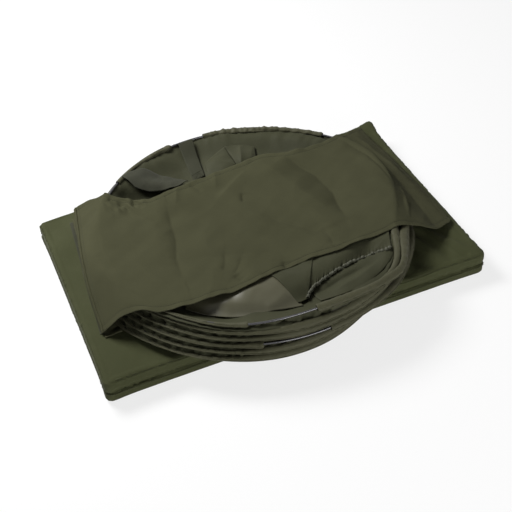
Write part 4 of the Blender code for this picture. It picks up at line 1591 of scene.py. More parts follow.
@dataclass
class Pack:
    """The coiled wall: hoops, the cloth bunched inside them and what lies on it, under the flap.

    Args:
        maker: Dresses the pieces.
        flap: The flap, up to which some pieces reach.
        skirt_draw: How far the skirt is drawn in at the mat.
        web_bulge: How deep the cloth between the turns lies.
        least_width: Least width of the cut for a laid piece.
    """

    maker: Maker
    flap: "Flap"
    skirt_draw: float = 0.008
    web_bulge: float = 0.0040
    least_width: float = 0.02

    def __post_init__(self) -> None:
        """Works out the wall cloth's surface."""
        self.surface = WallSurface()

    def build_hoops(self) -> None:
        """Builds both hoops."""
        upper_open = ((-331, -322), (-270, -255), (-225, -205), (-115.5, -91.5))
        HoopDress(self.maker, "lower", LOWER_HOOP, ((-108, -85),)).build()
        HoopDress(self.maker, "upper", UPPER_HOOP, upper_open).build()

    def build_wall(self) -> None:
        """Builds the bunched wall cloth from its middle to the rim."""
        angles, rings = 540, 76
        angle = round_angles(angles)
        reach, _, _ = self.surface.rim(angle)
        share = np.linspace(0.01, 1.0, rings)
        away = share[:, None] * reach[None, :]
        x = self.surface.middle[0] + away * np.cos(angle)[None, :]
        y = self.surface.middle[1] + away * np.sin(angle)[None, :]
        points = np.stack([x, y, self.surface.height(x, y)], axis=2)
        wall = grid_piece("wall_folds", points, False, True)
        self.maker.cloth(
            wall, "wall_cloth", Body.PACK, 0.62, Held.GATHERED, ["wall_pleats"], ["wall_cloth"]
        )

    def build_skirt(self) -> None:
        """Builds the pleated cloth inside every turn, from the rim down to the mat."""
        turn = np.linspace(0, 1, 720, endpoint=False)
        angle = UPPER_HOOP.start_angle + 2 * math.pi * turn
        outward = np.column_stack([np.cos(angle), np.sin(angle)])
        middle = self.surface.middle
        reaches = [
            np.sum((LOWER_HOOP.point(turn + lap)[:, :2] - middle) * outward, axis=1)
            for lap in range(3)
        ]
        reach, low, _ = self.surface.rim(angle % (2 * math.pi))
        inner = np.minimum.reduce(reaches + [reach + 0.0045]) - 0.0048
        share = np.linspace(0, 1, 14)[:, None]
        pleat = np.cos(60 * angle + 1.5 * np.sin(11 * angle))[None, :]
        drawn = self.skirt_draw * share * (1 + 0.45 * pleat)
        across = inner[None, :] - drawn - 0.001
        z = mix((low - 0.003)[None, :], MAT.top + MAT.crown_height + 0.0005, share)
        points = np.stack(
            [middle[0] + across * outward[:, 0], middle[1] + across * outward[:, 1], z], axis=2
        )
        skirt = grid_piece("wall_pleats", points, False, True)
        self.maker.cloth(
            skirt, "wall_cloth", Body.PACK, 1.8, Held.GATHERED, ["upper_pad"], ["wall_skirt"]
        )

    def web_points(self, low: Array, high: Array, seed: int) -> Array:
        """Bunched cloth between one turn and the next above it.

        Args:
            low: Centreline of the lower turn.
            high: Centreline of the upper turn, point for point.
            seed: Which folds it has.

        Returns:
            An array of (points, across, 3).
        """
        share = np.linspace(-0.12, 1.12, 9)
        run = run_along(low)
        outward, _ = frames_along(low, False)
        line = low[:, None, :] + (high - low)[:, None, :] * share[None, :, None]
        hump = np.sin(math.pi * np.clip(share, 0, 1))[None, :]
        place, across = run[:, None], share[None, :]
        folds = Ripple(seed, 0.017, 0.0018, lean=20, spread=30).at(place, across * 0.012)
        folds = folds + Ripple(seed + 1, 0.009, 0.0007, creased=True).at(place, across * 0.01)
        push = hump * (folds - self.web_bulge)
        line = line + push[:, :, None] * outward[:, None, :]
        line[:, :, 2] += 0.5 * push
        return line

    def build_webs(self) -> None:
        """Builds the bunched cloth between the turns of each hoop and between the hoops."""
        stretches = (
            ("lower_web", LOWER_HOOP, 0.0, LOWER_HOOP, 1.0, 1.72),
            ("middle_web", LOWER_HOOP, 2.0, UPPER_HOOP, 0.0, 0.72),
            ("upper_web", UPPER_HOOP, 0.0, UPPER_HOOP, 1.0, 1.72),
        )
        for seed, (name, under, first, over, second, length) in enumerate(stretches, 300):
            count = int(length * TURN_LENGTH / 0.0042)
            step = np.linspace(0, length, count)
            points = self.web_points(under.point(first + step), over.point(second + step), seed * 3)
            web = grid_piece(name, points)
            self.maker.cloth(
                web, "wall_cloth", Body.PACK, length * TURN_LENGTH, Held.GATHERED, ["wall_pleats"]
            )

    def laid_points(self, laid: Laid) -> Array:
        """Points of a laid piece over the wall cloth."""
        u = np.linspace(0, 1, laid.columns)
        v = np.linspace(0, 1, laid.rows)[:, None]
        near = along_line(laid.near, u) * MM
        far = along_line(laid.far, u) * MM
        x = mix(near[None, :, 0], far[None, :, 0], v)
        y = mix(near[None, :, 1], far[None, :, 1], v)
        z = self.surface.height(x, y, laid.follows) + laid.lift + laid.wall
        z = z + laid.bulge * np.sin(math.pi * u)[None, :] ** 0.7 * np.sin(math.pi * v) ** 0.8
        z = z + mix(laid.near_rise, laid.far_rise, v)
        for fold in laid.folds:
            z = z + fold.at(x, y)
        if laid.ripple:
            z = z + laid.ripple.at(x, y)
        if laid.gather:
            run = run_along(near)
            ruche = Ripple(77, 0.0075, 1.0).at(run[None, :], v * 0.004)
            z = z + laid.gather * ruche * np.exp(-v / 0.055)
        if laid.tuck:
            reached = laid.tuck * smooth(v / 0.5) * smooth((u - laid.tuck_from) / 0.3)[None, :]
            z = mix(z, self.flap.surface(x, y) - laid.tuck_gap, reached)
        return np.stack([x, y, z], axis=2)

    def build_laid(self, laid: Laid) -> Array:
        """Builds and dresses one laid piece, and gives its points."""
        points = self.laid_points(laid)
        width = max(float(run_along(np.array(laid.near) * MM)[-1]), self.least_width)
        self.maker.cloth(
            grid_piece(laid.name, points), laid.slot, Body.PACK, width, laid.held,
            ["wall_folds"], laid.nodes, laid.wall,
        )
        return points

    def ruched_cord(self, name: str, line: Array, radius: float, nodes: Sequence[str]) -> None:
        """A gathered casing drawn up on its elastic, along a line."""
        run = run_along(line)
        sides = 14
        turn = round_angles(sides)
        ruche = Ripple(91, 0.0062, 1.0).at(run[:, None], 0.002 * np.sin(turn)[None, :])
        rings = tube_points(line, radius, sides)
        rings = rings + (rings - line[:, None, :]) * (0.22 * ruche)[:, :, None]
        ends = smooth(np.minimum(run, run[-1] - run) / 0.006 + 0.25)[:, None, None]
        rings = line[:, None, :] + (rings - line[:, None, :]) * ends
        self.maker.dress(capped_rings(name, rings), "elastic", Body.PACK, nodes)

    def over(self, points: Sequence[Pair], lift: float, count: int) -> Array:
        """A line laid over the wall cloth through points in plan in millimetres."""
        flat = along_line(points, np.linspace(0, 1, count)) * MM
        z = self.surface.height(flat[:, 0], flat[:, 1]) + lift
        return np.column_stack([flat, z])

    def build_details(self) -> None:
        """Builds the pieces that show in the near opening and at the far side."""
        points = {laid.name: self.build_laid(laid) for laid in LAID_PIECES}
        hem = along_line(points["cover_panel"][0], np.linspace(0, 1, 190))
        hem = hem + np.array([0.0, -0.0006, 0.0006])
        self.ruched_cord("cover_elastic", hem, 0.0025, ["elastic_cord"])
        far = self.over(((66, 150), (85, 134), (111, 133), (150, 122)), 0.0032, 90)
        self.ruched_cord("far_elastic", far, 0.0026, ())
        strap = points["strap_loop"]
        stitches = StitchRows(pitch=0.0030, length=0.0023, thread=0.0005)
        corner = np.array([strap[3, 3], strap[11, strap.shape[1] // 2], strap[3, -4]])
        vee = [along_line(side, np.linspace(0, 1, 12)) for side in (corner[:2], corner[1:])]
        stitches.sew_flat((strap[2], strap[12], *vee), 0.0004)
        self.maker.dress(stitches.piece("strap_stitches"), "wall_cloth", Body.PACK)

    def build(self) -> None:
        """Builds and dresses the whole pack."""
        self.build_skirt()
        self.build_wall()
        self.build_webs()
        self.build_hoops()
        self.build_details()


LAID_PIECES = (
    Laid(
        "liner_sheet", "coated_liner", ("liner_panel",),
        near=((-190, -160), (-160, -184), (-128, -204), (-92, -217), (-56, -225), (-12, -232)),
        far=((-180, -128), (-136, -124), (-100, -122), (-60, -116), (-30, -112), (-4, -110)),
        lift=0.0008, bulge=0.0050, far_rise=0.0120,
        folds=(
            FoldLine(((-24, -196), (-44, -208), (-72, -216)), 3.2, 12, 14, 1.5),
            FoldLine(((-70, -190), (-96, -178), (-120, -170)), -2.0, 24, 18, 1.5),
            FoldLine(((-170, -160), (-120, -190), (-60, -212)), -1.6, 12, 12, 1.6),
        ),
        ripple=Ripple(41, 0.060, 0.0004),
        follows=0.15, tuck=1.0, tuck_from=0.26, tuck_gap=0.0042,
    ),
    Laid(
        "liner_fold", "coated_liner", (),
        near=((-178, -146), (-150, -152), (-128, -156), (-104, -154)),
        far=((-172, -128), (-147, -130), (-120, -132), (-100, -134)),
        held=Held.FOLDED, lift=0.0140, bulge=0.0048, columns=60, rows=20,
    ),
    Laid(
        "corner_fold", "wall_cloth", ("wall_corner",),
        near=((-17, -224), (-12, -225), (-5, -224), (2, -222)),
        far=((-48, -120), (-2, -117), (34, -115), (66, -112)),
        held=Held.FOLDED, lift=0.0030, bulge=0.0020, far_rise=0.0070, tuck=1.0, tuck_gap=0.0018,
        folds=(
            FoldLine(((-17, -222), (-30, -170), (-46, -122)), 2.6, 6, 22, 1.2),
            FoldLine(((6, -222), (26, -120)), 1.4, 5, 14),
        ),
        ripple=Ripple(42, 0.04, 0.0003),
        columns=50, rows=60,
    ),
    Laid(
        "pocket_panel", "wall_cloth", (),
        near=((18, -236), (56, -240), (95, -236), (138, -221), (176, -194), (204, -160)),
        far=((12, -200), (50, -182), (90, -170), (126, -164), (158, -158), (206, -142)),
        lift=0.0002, bulge=0.0060,
        folds=(
            FoldLine(((24, -216), (70, -204), (120, -196)), -1.8, 4, 9, 1.3),
            FoldLine(((40, -228), (96, -216), (150, -196)), 1.6, 10, 5, 1.3),
        ),
        ripple=Ripple(48, 0.05, 0.0004),
        follows=0.2, columns=100, rows=36,
    ),
    Laid(
        "cover_panel", "wall_cloth", ("elastic_cover",),
        near=(
            (-1, -222), (11, -210), (26, -201), (41, -195), (65, -187),
            (93, -180), (113, -175), (131, -173), (155, -175), (177, -183),
        ),
        far=(
            (46, -116), (70, -114), (95, -112), (125, -110),
            (148, -108), (166, -108), (186, -110), (207, -112),
        ),
        held=Held.GATHERED, lift=0.0052, near_rise=-0.0006, bulge=0.0062, far_rise=0.0045,
        tuck=0.85,
        folds=(
            FoldLine(((60, -182), (92, -150), (130, -120)), 2.0, 16, 24, 1.5),
            FoldLine(((118, -172), (150, -148), (185, -130)), -2.6, 18, 12, 1.5),
            FoldLine(((150, -172), (192, -150)), 1.4, 6, 6),
        ),
        ripple=Ripple(43, 0.055, 0.0005),
        gather=0.0011, columns=170,
    ),
    Laid(
        "grey_patch", "loop_pile", ("loop_patch",),
        near=((-168, 170), (-150, 158), (-124, 148), (-96, 142), (-72, 152)),
        far=((-184, 200), (-164, 208), (-140, 211), (-110, 190), (-68, 160)),
        lift=0.0050, bulge=0.0015, near_rise=0.0090,
        ripple=Ripple(44, 0.03, 0.0004),
        follows=0.0, wall=0.0013, columns=60, rows=24,
    ),
    Laid(
        "strap_loop", "webbing", ("webbing_strap",),
        near=((-57, 155), (-45, 159), (-33, 163)),
        far=((-53, 249), (-38, 251), (-23, 252)),
        lift=0.0034, bulge=0.0006, far_rise=0.004,
        ripple=Ripple(45, 0.05, 0.0002),
        wall=0.0015, columns=20, rows=70,
    ),
    Laid(
        "side_tab", "wall_cloth", (),
        near=((-30, 150), (-8, 152), (14, 158), (32, 165)),
        far=((-20, 194), (2, 208), (18, 214), (30, 217)),
        held=Held.FOLDED, lift=0.0030, bulge=0.0024,
        folds=(FoldLine(((-10, 192), (30, 166)), 1.2, 8, 5),),
        ripple=Ripple(46, 0.04, 0.0003),
        columns=50, rows=30,
    ),
    Laid(
        "tab_fold", "wall_cloth", ("folded_tab",),
        near=((33, 163), (44, 158), (56, 156), (72, 156)),
        far=((31, 218), (52, 211), (66, 205), (84, 194)),
        held=Held.FOLDED, lift=0.0040, bulge=0.0040,
        folds=(
            FoldLine(((58, 207), (42, 160)), 3.2, 7, 4),
            FoldLine(((80, 196), (62, 160)), 1.2, 5, 8),
        ),
        ripple=Ripple(47, 0.04, 0.0003),
        columns=50, rows=40,
    ),
)


# The retaining flap


@dataclass
class Flap:
    """The retaining flap, drawn over the coil from its seam to its hook tape.

    Args:
        maker: Dresses the pieces.
        axis_x: Where it turns, at its seam.
        axis_z: Height of that line.
        end_x: Where its right end lies.
        cloth: Its thickness.
        seat: How far from a turn's centreline it passes.
        lift: How far it stands clear of the turns.
        sag: How far it sinks between them.
        fold_scale: Scale of the height of its main folds.
        casing_reach: How far from a centreline it is kept off the casings.
        casing_height: How high above a centreline it is kept.
        columns, rows: Points along it and across it.
        near, far, right, left: Its edges in plan, in millimetres.
        folds: Its main folds.
        end_folds: The folds of its right end.
        unevenness: Soft unevenness all over it.
        far_puckers: Puckers at the far side, at far_place and within far_width of it.
        end_waves: Waves of its right end.
        ruffle: Waves of its two long edges.
        hem_depth: Depth of the sewn hem.
    """

    maker: Maker
    axis_x: float = -0.325
    axis_z: float = 0.04964
    end_x: float = 0.3400
    cloth: float = 0.0008
    seat: float = 0.0058
    lift: float = 0.0016
    sag: float = 0.0055
    fold_scale: float = 1.5
    casing_reach: float = 0.0085
    casing_height: float = 0.0054
    columns: int = 330
    rows: int = 170
    near: Tuple[Pair, ...] = (
        (-325, -115), (-310, -124), (-286, -133), (-262, -145), (-234, -164), (-201, -171),
        (-167, -171), (-140, -168), (-100, -170), (-60, -165), (-30, -158), (11, -152),
        (49, -150), (90, -153), (133, -149), (173, -146), (205, -142), (228, -141),
        (260, -145), (282, -147), (300, -141), (318, -132), (336, -122), (339, -119),
    )
    far: Tuple[Pair, ...] = (
        (-285, 191), (-258, 190), (-238, 176), (-214, 150), (-190, 131), (-156, 115), (-140, 117),
        (-110, 124), (-74, 130), (-31, 135), (14, 141), (42, 143), (72, 148), (98, 143),
        (127, 134), (165, 130), (201, 133), (236, 143), (262, 160), (290, 184), (318, 196),
    )
    right: Tuple[Pair, ...] = (
        (339, -119), (340, -80), (339, -45), (337, -15), (331, 10),
        (327, 50), (322, 90), (318, 130), (316, 165), (318, 196),
    )
    left: Tuple[Pair, ...] = ((-325, -115), (-319, -10), (-308, 65), (-296, 130), (-285, 191))
    folds: Tuple[FoldLine, ...] = (
        FoldLine(((118, 124), (150, 56), (157, 0), (144, -78)), -9.0, 26, 34, 1.05),
        FoldLine(((70, 130), (88, 70), (104, 16), (126, -36)), 3.2, 26, 34, 1.3),
        FoldLine(((12, -8), (40, -44), (68, -76), (90, -104)), -3.6, 40, 12, 1.1),
        FoldLine(((92, -88), (95, -114), (90, -138)), -3.0, 34, 11, 1.1),
        FoldLine(((-134, 84), (-144, 34), (-150, -6), (-165, -50), (-171, -104)), -5.6, 44, 12, 1.1),
        FoldLine(((-168, 60), (-180, 0), (-196, -60)), 2.0, 26, 34, 1.4),
        FoldLine(((-312, 6), (-277, -76), (-225, -140)), 1.2, 30, 18, 1.2),
        FoldLine(((-214, 112), (-184, 72), (-150, 22)), -3.6, 14, 26, 1.2),
        FoldLine(((-46, 60), (-8, 88), (34, 118)), 2.6, 7, 26, 1.2),
        FoldLine(((2, 60), (-7, 36)), -2.2, 14, 3, 1.1),
        FoldLine(((-84, -70), (-94, -96), (-106, -118)), -2.4, 24, 6, 1.1),
        FoldLine(((-62, -92), (-74, -112), (-92, -130)), -2.0, 20, 5, 1.1),
        FoldLine(((-92, -133), (-84, -152)), -2.0, 12, 4),
        FoldLine(((-4, -136), (-7, -154)), -2.2, 12, 4),
        FoldLine(((-232, 156), (-206, 116)), -3.2, 6, 8),
        FoldLine(((-206, 142), (-186, 106)), -3.0, 5, 7),
        FoldLine(((-186, 130), (-172, 98)), -2.8, 5, 6),
        FoldLine(((-60, 40), (-96, -10), (-120, -70)), 1.6, 26, 30, 1.5),
        FoldLine(((-100, 128), (-118, 82)), 2.2, 7, 10),
        FoldLine(((-76, 130), (-62, 96)), -2.0, 5, 5),
        FoldLine(((-22, 136), (-36, 94)), 1.6, 7, 8),
    )
    end_folds: Tuple[FoldLine, ...] = (
        FoldLine(((252, 110), (260, 13), (262, -36), (240, -88), (208, -140)), 3.6, 9, 40, 1.0),
        FoldLine(((262, 150), (280, 70), (292, -20), (296, -90), (292, -150)), -9.0, 22, 24, 1.3),
        FoldLine(((284, 150), (300, 72), (312, 0)), 3.0, 8, 9, 1.2),
    )
    unevenness: Tuple[Ripple, ...] = (
        Ripple(51, 0.150, 0.0010),
        Ripple(52, 0.120, 0.0006, creased=True),
        Ripple(57, 0.032, 0.00022),
    )
    far_puckers: Ripple = Ripple(53, 0.016, 0.0018, lean=10, spread=20)
    far_place: Pair = (-0.196, 0.118)
    far_width: Pair = (0.035, 0.018)
    end_waves: Ripple = Ripple(54, 0.045, 0.0005, lean=80, spread=15)
    ruffle: Ripple = Ripple(55, 0.034, 0.0007)
    hem_depth: float = 0.0005

    def __post_init__(self) -> None:
        """Works out the table of heights that the turns hold the flap at."""
        self.table_x = np.linspace(self.axis_x, self.end_x + 0.002, 340)
        self.table_y = np.linspace(-0.19, 0.21, 200)
        runs = []
        for hoop in (LOWER_HOOP, UPPER_HOOP):
            points = hoop.point(np.linspace(0, hoop.turns, 361))
            runs.append((points[:-1], points[1:]))
        start = np.concatenate([run[0] for run in runs])
        end = np.concatenate([run[1] for run in runs])
        rows = [self.hull_row(start, end, y) for y in self.table_y]
        self.heights = self.soften(np.array(rows))
        self.roof = self.casing_roof()

    def hull_row(self, start: Array, end: Array, y: float) -> Array:
        """Height along one line at y: the tightest line over the turns it passes."""
        crossing = (start[:, 1] - y) * (end[:, 1] - y) < 0
        low, high = start[crossing], end[crossing]
        share = ((y - low[:, 1]) / (high[:, 1] - low[:, 1]))[:, None]
        places = low + (high - low) * share
        end_z = float(MAT.top_at(np.array(self.end_x), np.array(y))) + 0.0042
        marks = [(self.axis_x, self.axis_z), (self.end_x + 0.002, end_z)]
        for x, _, z in places:
            for turn in np.radians(np.arange(15, 180, 25)):
                marks.append((x + self.seat * math.cos(turn), z + self.seat * 0.85 * math.sin(turn)))
        hull: List[Pair] = []
        for mark in sorted(marks):
            while len(hull) > 1 and self.above(hull[-2], hull[-1], mark):
                hull.pop()
            hull.append(mark)
        line = np.array(hull)
        return np.interp(self.table_x, line[:, 0], line[:, 1])

    @staticmethod
    def above(first: Pair, middle: Pair, last: Pair) -> bool:
        """True where the way from first to last passes over middle."""
        rising = (middle[0] - first[0]) * (last[1] - first[1])
        return rising >= (middle[1] - first[1]) * (last[0] - first[0])

    @staticmethod
    def soften(table: Array) -> Array:
        """Evens a table of heights over a few neighbours each way."""
        window = np.hanning(9)[1:-1]
        window /= window.sum()
        for axis in (0, 1):
            edges = [(3, 3) if axis == 0 else (0, 0), (3, 3) if axis == 1 else (0, 0)]
            padded = np.pad(table, edges, mode="edge")
            table = np.apply_along_axis(lambda line: np.convolve(line, window, "valid"), axis, padded)
        return table

    def casing_roof(self) -> Array:
        """Table of the height that the turns' casings reach, 0 where there is none."""
        table = np.zeros((len(self.table_y), len(self.table_x)))
        cell = self.table_x[1] - self.table_x[0], self.table_y[1] - self.table_y[0]
        span = range(-4, 5)
        for hoop in (LOWER_HOOP, UPPER_HOOP):
            line = hoop.point(np.linspace(0, hoop.turns, 2400))
            column = np.rint((line[:, 0] - self.table_x[0]) / cell[0]).astype(int)
            row = np.rint((line[:, 1] - self.table_y[0]) / cell[1]).astype(int)
            for down, aside in ((down, aside) for down in span for aside in span):
                share = math.hypot(aside * cell[0], down * cell[1]) / self.casing_reach
                i, j = row + down, column + aside
                inside = (i >= 0) & (i < table.shape[0]) & (j >= 0) & (j < table.shape[1])
                if share < 1:
                    height = line[inside, 2] + self.casing_height * math.sqrt(1 - share ** 2)
                    np.maximum.at(table, (i[inside], j[inside]), height)
        return table

    def hull_height(self, x: Array, y: Array) -> Array:
        """Height of the softened hull at points in plan."""
        return self.read(self.heights, x, y)

    def read(self, table: Array, x: Array, y: Array) -> Array:
        """A table's value at points in plan, even between its cells."""
        row, column = (
            np.clip((place - marks[0]) / (marks[1] - marks[0]), 0, len(marks) - 1.001)
            for place, marks in ((y, self.table_y), (x, self.table_x))
        )
        i, j = row.astype(int), column.astype(int)
        across, along = column - j, row - i
        low = mix(table[i, j], table[i, j + 1], across)
        high = mix(table[i + 1, j], table[i + 1, j + 1], across)
        return mix(low, high, along)

    def surface(self, x: Array, y: Array) -> Array:
        """Height of the flap at points in plan."""
        ends = smooth((x - self.axis_x) / 0.05) * smooth((self.end_x - x) / 0.035)
        rim = np.hypot((x - UPPER_HOOP.centre_x - 0.02) / 0.270, (y - UPPER_HOOP.centre_y) / 0.270)
        inside = np.clip(1 - rim ** 2, 0.0, 1.0)
        z = np.maximum(self.hull_height(x, y), self.shoulder(x, y)) + self.cloth / 2
        z = z + self.lift * ends - self.sag * np.square(inside)
        for fold in self.folds:
            z = z + self.fold_scale * fold.at(x, y) * ends
        for fold in self.end_folds:
            z = z + fold.at(x, y) * ends
        soft = sum(ripple.at(x, y) for ripple in self.unevenness)
        far_zone = bell(x - self.far_place[0], self.far_width[0])
        far_zone = far_zone * bell(y - self.far_place[1], self.far_width[1])
        end_waves = self.end_waves.at(x, y) * smooth((x - 0.29) / 0.03)
        settled = smooth((self.end_x + 0.01 - x) / 0.02)
        z = z + (soft + self.far_puckers.at(x, y) * far_zone) * ends + np.abs(end_waves) * settled
        return np.maximum(z, self.read(self.roof, x, y) + self.cloth)

    def shoulder(self, x: Array, y: Array) -> Array:
        """Height of the flap's left end, which stands up from its seam before it bends over the coil."""
        span = mix(0.040, 0.095, smooth(-y / 0.15))
        share = np.clip((x - self.axis_x) / span, 0.0, 1.0)
        aside = np.clip((y - UPPER_HOOP.centre_y) / 0.272, -0.98, 0.98)
        rim = 0.010 - UPPER_HOOP.radius * np.sqrt(1 - aside ** 2)
        plateau = self.hull_height(rim + 0.016, y) - 0.0004
        held = self.axis_z + (plateau - self.axis_z) * (1 - (1 - share) ** 2.4)
        held = mix(held, self.hull_height(x, y), smooth((y - 0.02) / 0.11))
        return np.where(x < rim, held, 0.0)

    def plan(self, u: Array, v: Array) -> Tuple[Array, Array]:
        """Plan position at shares of the flap's length and width, from its four edges."""
        near, far = along_line(self.near, u) * MM, along_line(self.far, u) * MM
        left, right = along_line(self.left, v) * MM, along_line(self.right, v) * MM
        u, v = u[None, :, None], v[:, None, None]
        edges = mix(near[None], far[None], v) + mix(left[:, None], right[:, None], u)
        corners = mix(mix(near[0], near[-1], u), mix(far[0], far[-1], u), v)
        place = edges - corners
        return place[..., 0], place[..., 1]

    def build_sheet(self) -> Piece:
        """Builds the flap with its hem."""
        u, v = np.linspace(0, 1, self.columns), np.linspace(0, 1, self.rows)
        x, y = self.plan(u, v)
        z = self.surface(x, y)
        down, aside = v[:, None], u[None, :]
        hem = bell(down - 0.035, 0.010) + bell(1 - down - 0.035, 0.010) + bell(1 - aside - 0.018, 0.006)
        z = z - self.hem_depth * np.clip(hem, 0, 1)
        edge = self.ruffle.at(x, y) * np.clip(bell(down, 0.03) + bell(1 - down, 0.03), 0, 1)
        z = z + edge * smooth((x - self.axis_x) / 0.05) * smooth((self.end_x - x) / 0.03)
        points = np.stack([x, y, z], axis=2)
        sheet = grid_piece("flap_sheet", points)
        self.maker.cloth(
            sheet, "flap_cloth", Body.FLAP, 0.30, Held.STRETCHED,
            ["upper_sleeve_5", "loop_strip"], ["retaining_flap"], self.cloth, 0.0,
        )
        self.points = points
        return sheet

    def build_stitches(self) -> Piece:
        """Sews the hem rows of the flap."""
        stitches = StitchRows()
        rows = (self.points[6], self.points[-7], self.points[:, -6], self.points[:, 5])
        stitches.sew_flat(rows, 0.0003)
        return self.maker.dress(stitches.piece("flap_stitches"), "webbing", Body.FLAP)

    def hem_roll(self) -> Piece:
        """The rolled ridge along the sewn edge at the left."""
        line = along_line(self.left, np.linspace(0, 1, 200)) * MM
        z = self.surface(line[:, 0] + 0.004, line[:, 1]) + 0.0012
        centre = np.column_stack([line[:, 0] + 0.0035, line[:, 1], z])
        size = 0.0017 + Ripple(56, 0.03, 0.0003).at(line[:, 1], 0 * z)
        return self.maker.dress(capped_tube("flap_hem_roll", centre, size, 10), "flap_cloth", Body.FLAP)

    def build(self) -> None:
        """Builds the flap and gives each of its pieces a mesh of its own."""
        pieces = [self.build_sheet(), self.build_stitches(), self.hem_roll()]
        for piece in pieces:
            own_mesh(piece)


@dataclass(frozen=True)
class Strip:
    """A narrow strip sewn to the mat or to the flap, in place on the mat's top.

    Args:
        name: The piece's name.
        slot: Its material slot.
        body: The body that it rides on.
        node: The CAD node that it stands for.
        rests_on: What it lies on.
        near: Its left side at the near end, in millimetres in plan.
        far: Its left side at the far end.
        width: Its width.
        rise: Height of its underside above the mat.
        wall: Its thickness.
        ripple: Height of its unevenness.
    """

    name: str
    slot: str
    body: Body
    node: str
    rests_on: str
    near: Pair
    far: Pair
    width: float
    rise: float
    wall: float
    ripple: float = 0.0

    def build(self, maker: Maker) -> None:
        """Builds and dresses the strip."""
        v = np.linspace(0, 1, 150)[:, None]
        u = np.linspace(0, 1, 13)[None, :]
        x = mix(self.near[0], self.far[0], v) * MM + self.width * u
        y = mix(self.near[1], self.far[1], v) * MM + 0 * u
        wave = np.abs(Ripple(len(self.name) * 7, 0.03, self.ripple).at(x, y))
        z = MAT.top_at(x, y) + self.rise + self.wall + wave
        sheet = grid_piece(self.name, np.stack([x, y, z], axis=2))
        maker.cloth(
            sheet, self.slot, self.body, self.width, Held.STRETCHED, [self.rests_on], [self.node]
        )


TAPE_ENDS = ((313, -99), (290, 178))
STRIPS = (
    Strip(
        "flange_strip", "flap_cloth", Body.UPPER, "flap_flange", "upper_pad",
        (-322, -124), (-292, 190), 0.030, 0.0003, 0.0008, 0.0010,
    ),
    # Painted shade: this dark strip in the webbing colour stands where the flap's left hem throws its
    # shade.
    Strip(
        "seam_strip", "webbing", Body.UPPER, "flap_seam_tape", "upper_pad",
        (-327, -113), (-299, 183), 0.019, -0.0003, 0.0008, 0.0002,
    ),
    Strip(
        "loop_strip", "loop_pile", Body.UPPER, "loop_tape", "upper_pad",
        *TAPE_ENDS, 0.022, 0.0005, 0.0010,
    ),
    Strip(
        "hook_strip", "hook_tape", Body.FLAP, "hook_tape", "loop_strip",
        *TAPE_ENDS, 0.022, 0.0018, 0.0010,
    ),
)


# The studio


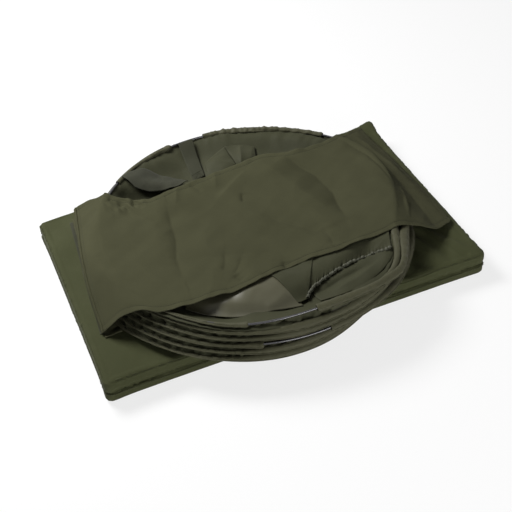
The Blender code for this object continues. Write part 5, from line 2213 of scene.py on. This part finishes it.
@dataclass
class Studio:
    """Floor, lamps, world and camera.

    Args:
        eye: Where the camera stands.
        yaw: Its turn to the right of +Y.
        pitch: Its tilt down.
        roll: Its lean.
        lens: Focal length in millimetres.
        sensor: Width of the sensor in millimetres.
        surround: Strength with which the surround lights the mat.
        floor_colour: Colour of the floor.
        floor_glow: Share of plain white that the camera sees in the floor.
        floor_height: Height of the floor, just below the mat.
    """

    eye: Triple = (-0.4769, -1.2319, 1.2389)
    yaw: float = math.radians(21.16)
    pitch: float = math.radians(43.21)
    roll: float = math.radians(-3.0)
    lens: float = 68.6
    sensor: float = 36.0
    surround: float = 0.06
    floor_colour: Tuple[float, ...] = (0.86, 0.86, 0.86, 1.0)
    floor_glow: float = 0.78
    floor_height: float = -0.0008

    def build_camera(self) -> None:
        """Sets the camera at the photograph's viewing angle."""
        data = bpy.data.cameras.new("view")
        data.lens = self.lens
        data.sensor_width = self.sensor
        camera = bpy.data.objects.new("view", data)
        bpy.context.scene.collection.objects.link(camera)
        sin, cos = math.sin, math.cos
        ahead = Vector(
            (sin(self.yaw) * cos(self.pitch), cos(self.yaw) * cos(self.pitch), -sin(self.pitch))
        )
        right = Vector((cos(self.yaw), -sin(self.yaw), 0.0))
        above = right.cross(ahead)
        across = right * cos(self.roll) + above * sin(self.roll)
        upward = above * cos(self.roll) - right * sin(self.roll)
        turn = Matrix((across, upward, -ahead)).transposed()
        camera.matrix_world = Matrix.Translation(self.eye) @ turn.to_4x4()
        bpy.context.scene.camera = camera

    @staticmethod
    def seen_by(tree: Tree, *rays: str) -> Socket:
        """1 for rays of the named kinds, 0 for all others."""
        path = add_node(tree, "ShaderNodeLightPath")
        seen = path.outputs[rays[0]]
        for ray in rays[1:]:
            seen = math_node(tree, "MAXIMUM", seen, path.outputs[ray])
        return seen

    def build_world(self) -> None:
        """A plain white surround that lights softly and shows white to the camera and in gloss."""
        world = bpy.data.worlds.new("surround")
        bpy.context.scene.world = world
        world.use_nodes = True
        tree = world.node_tree
        seen = self.seen_by(tree, "Is Camera Ray", "Is Transmission Ray", "Is Glossy Ray")
        strength = map_range(tree, seen, {"To Min": self.surround, "To Max": 1.0})
        set_inputs(tree.nodes["Background"], {"Color": (1.0, 1.0, 1.0, 1.0), "Strength": strength})

    def build_floor(self) -> None:
        """A pale floor that keeps the mat's shadow."""
        sides, radii = 48, (0.2, 0.6, 1.4, 3.0, 6.0)
        turn = round_angles(sides)
        circle = np.column_stack([np.cos(turn), np.sin(turn)])
        rings = [
            np.column_stack([radius * circle, np.full(sides, self.floor_height)]) for radius in radii
        ]
        faces = quads(len(radii), sides, False, True) + [tuple(range(sides))]
        floor = new_piece("floor", np.concatenate(rings), faces)
        material = bpy.data.materials.new("pale_floor")
        material.use_nodes = True
        tree = material.node_tree
        shader = tree.nodes["Principled BSDF"]
        set_inputs(shader, {"Base Color": self.floor_colour, "Roughness": 0.9})
        glow = add_node(tree, "ShaderNodeEmission")
        seen = self.seen_by(tree, "Is Camera Ray", "Is Glossy Ray")
        share = math_node(tree, "MULTIPLY", seen, self.floor_glow)
        inputs = {0: share, 1: shader.outputs[0], 2: glow.outputs[0]}
        blend = add_node(tree, "ShaderNodeMixShader", inputs)
        set_inputs(tree.nodes["Material Output"], {"Surface": blend.outputs[0]})
        floor.data.materials.append(material)

    def add_lamp(self, name: str, place: Triple, target: Triple, size: float, power: float) -> None:
        """One soft rectangular lamp aimed at a point."""
        data = bpy.data.lights.new(name, "AREA")
        data.shape = "RECTANGLE"
        data.size = size
        data.size_y = size * 0.8
        data.energy = power
        lamp = bpy.data.objects.new(name, data)
        lamp.location = place
        lamp.rotation_mode = "QUATERNION"
        heading = Vector(target) - Vector(place)
        lamp.rotation_quaternion = heading.to_track_quat("-Z", "Y")
        bpy.context.scene.collection.objects.link(lamp)

    def build(self) -> None:
        """Builds the studio."""
        self.build_camera()
        self.build_world()
        self.build_floor()
        self.add_lamp("key", (-0.75, 1.0, 1.55), (0, 0, 0.05), 0.9, 59.0)
        self.add_lamp("front", (0.3, -2.0, 0.36), (0, -0.1, 0.03), 1.1, 28.0)
        bpy.context.scene.view_settings.view_transform = "Standard"


def main() -> None:
    """Builds every sub-assembly in order."""
    logging.basicConfig(level=logging.INFO, format="%(name)s %(message)s")
    Studio().build()
    maker = Maker()
    PaddedHalf(maker, "lower", Body.LOWER, 0.0, False, 11).build()
    PaddedHalf(maker, "upper", Body.UPPER, MAT.half_thickness + MAT.halves_gap, True, 21).build()
    FoldCloth(maker).build()
    flap = Flap(maker)
    Pack(maker, flap).build()
    for strip in STRIPS:
        strip.build(maker)
    flap.build()


if __name__ == "__main__":
    main()
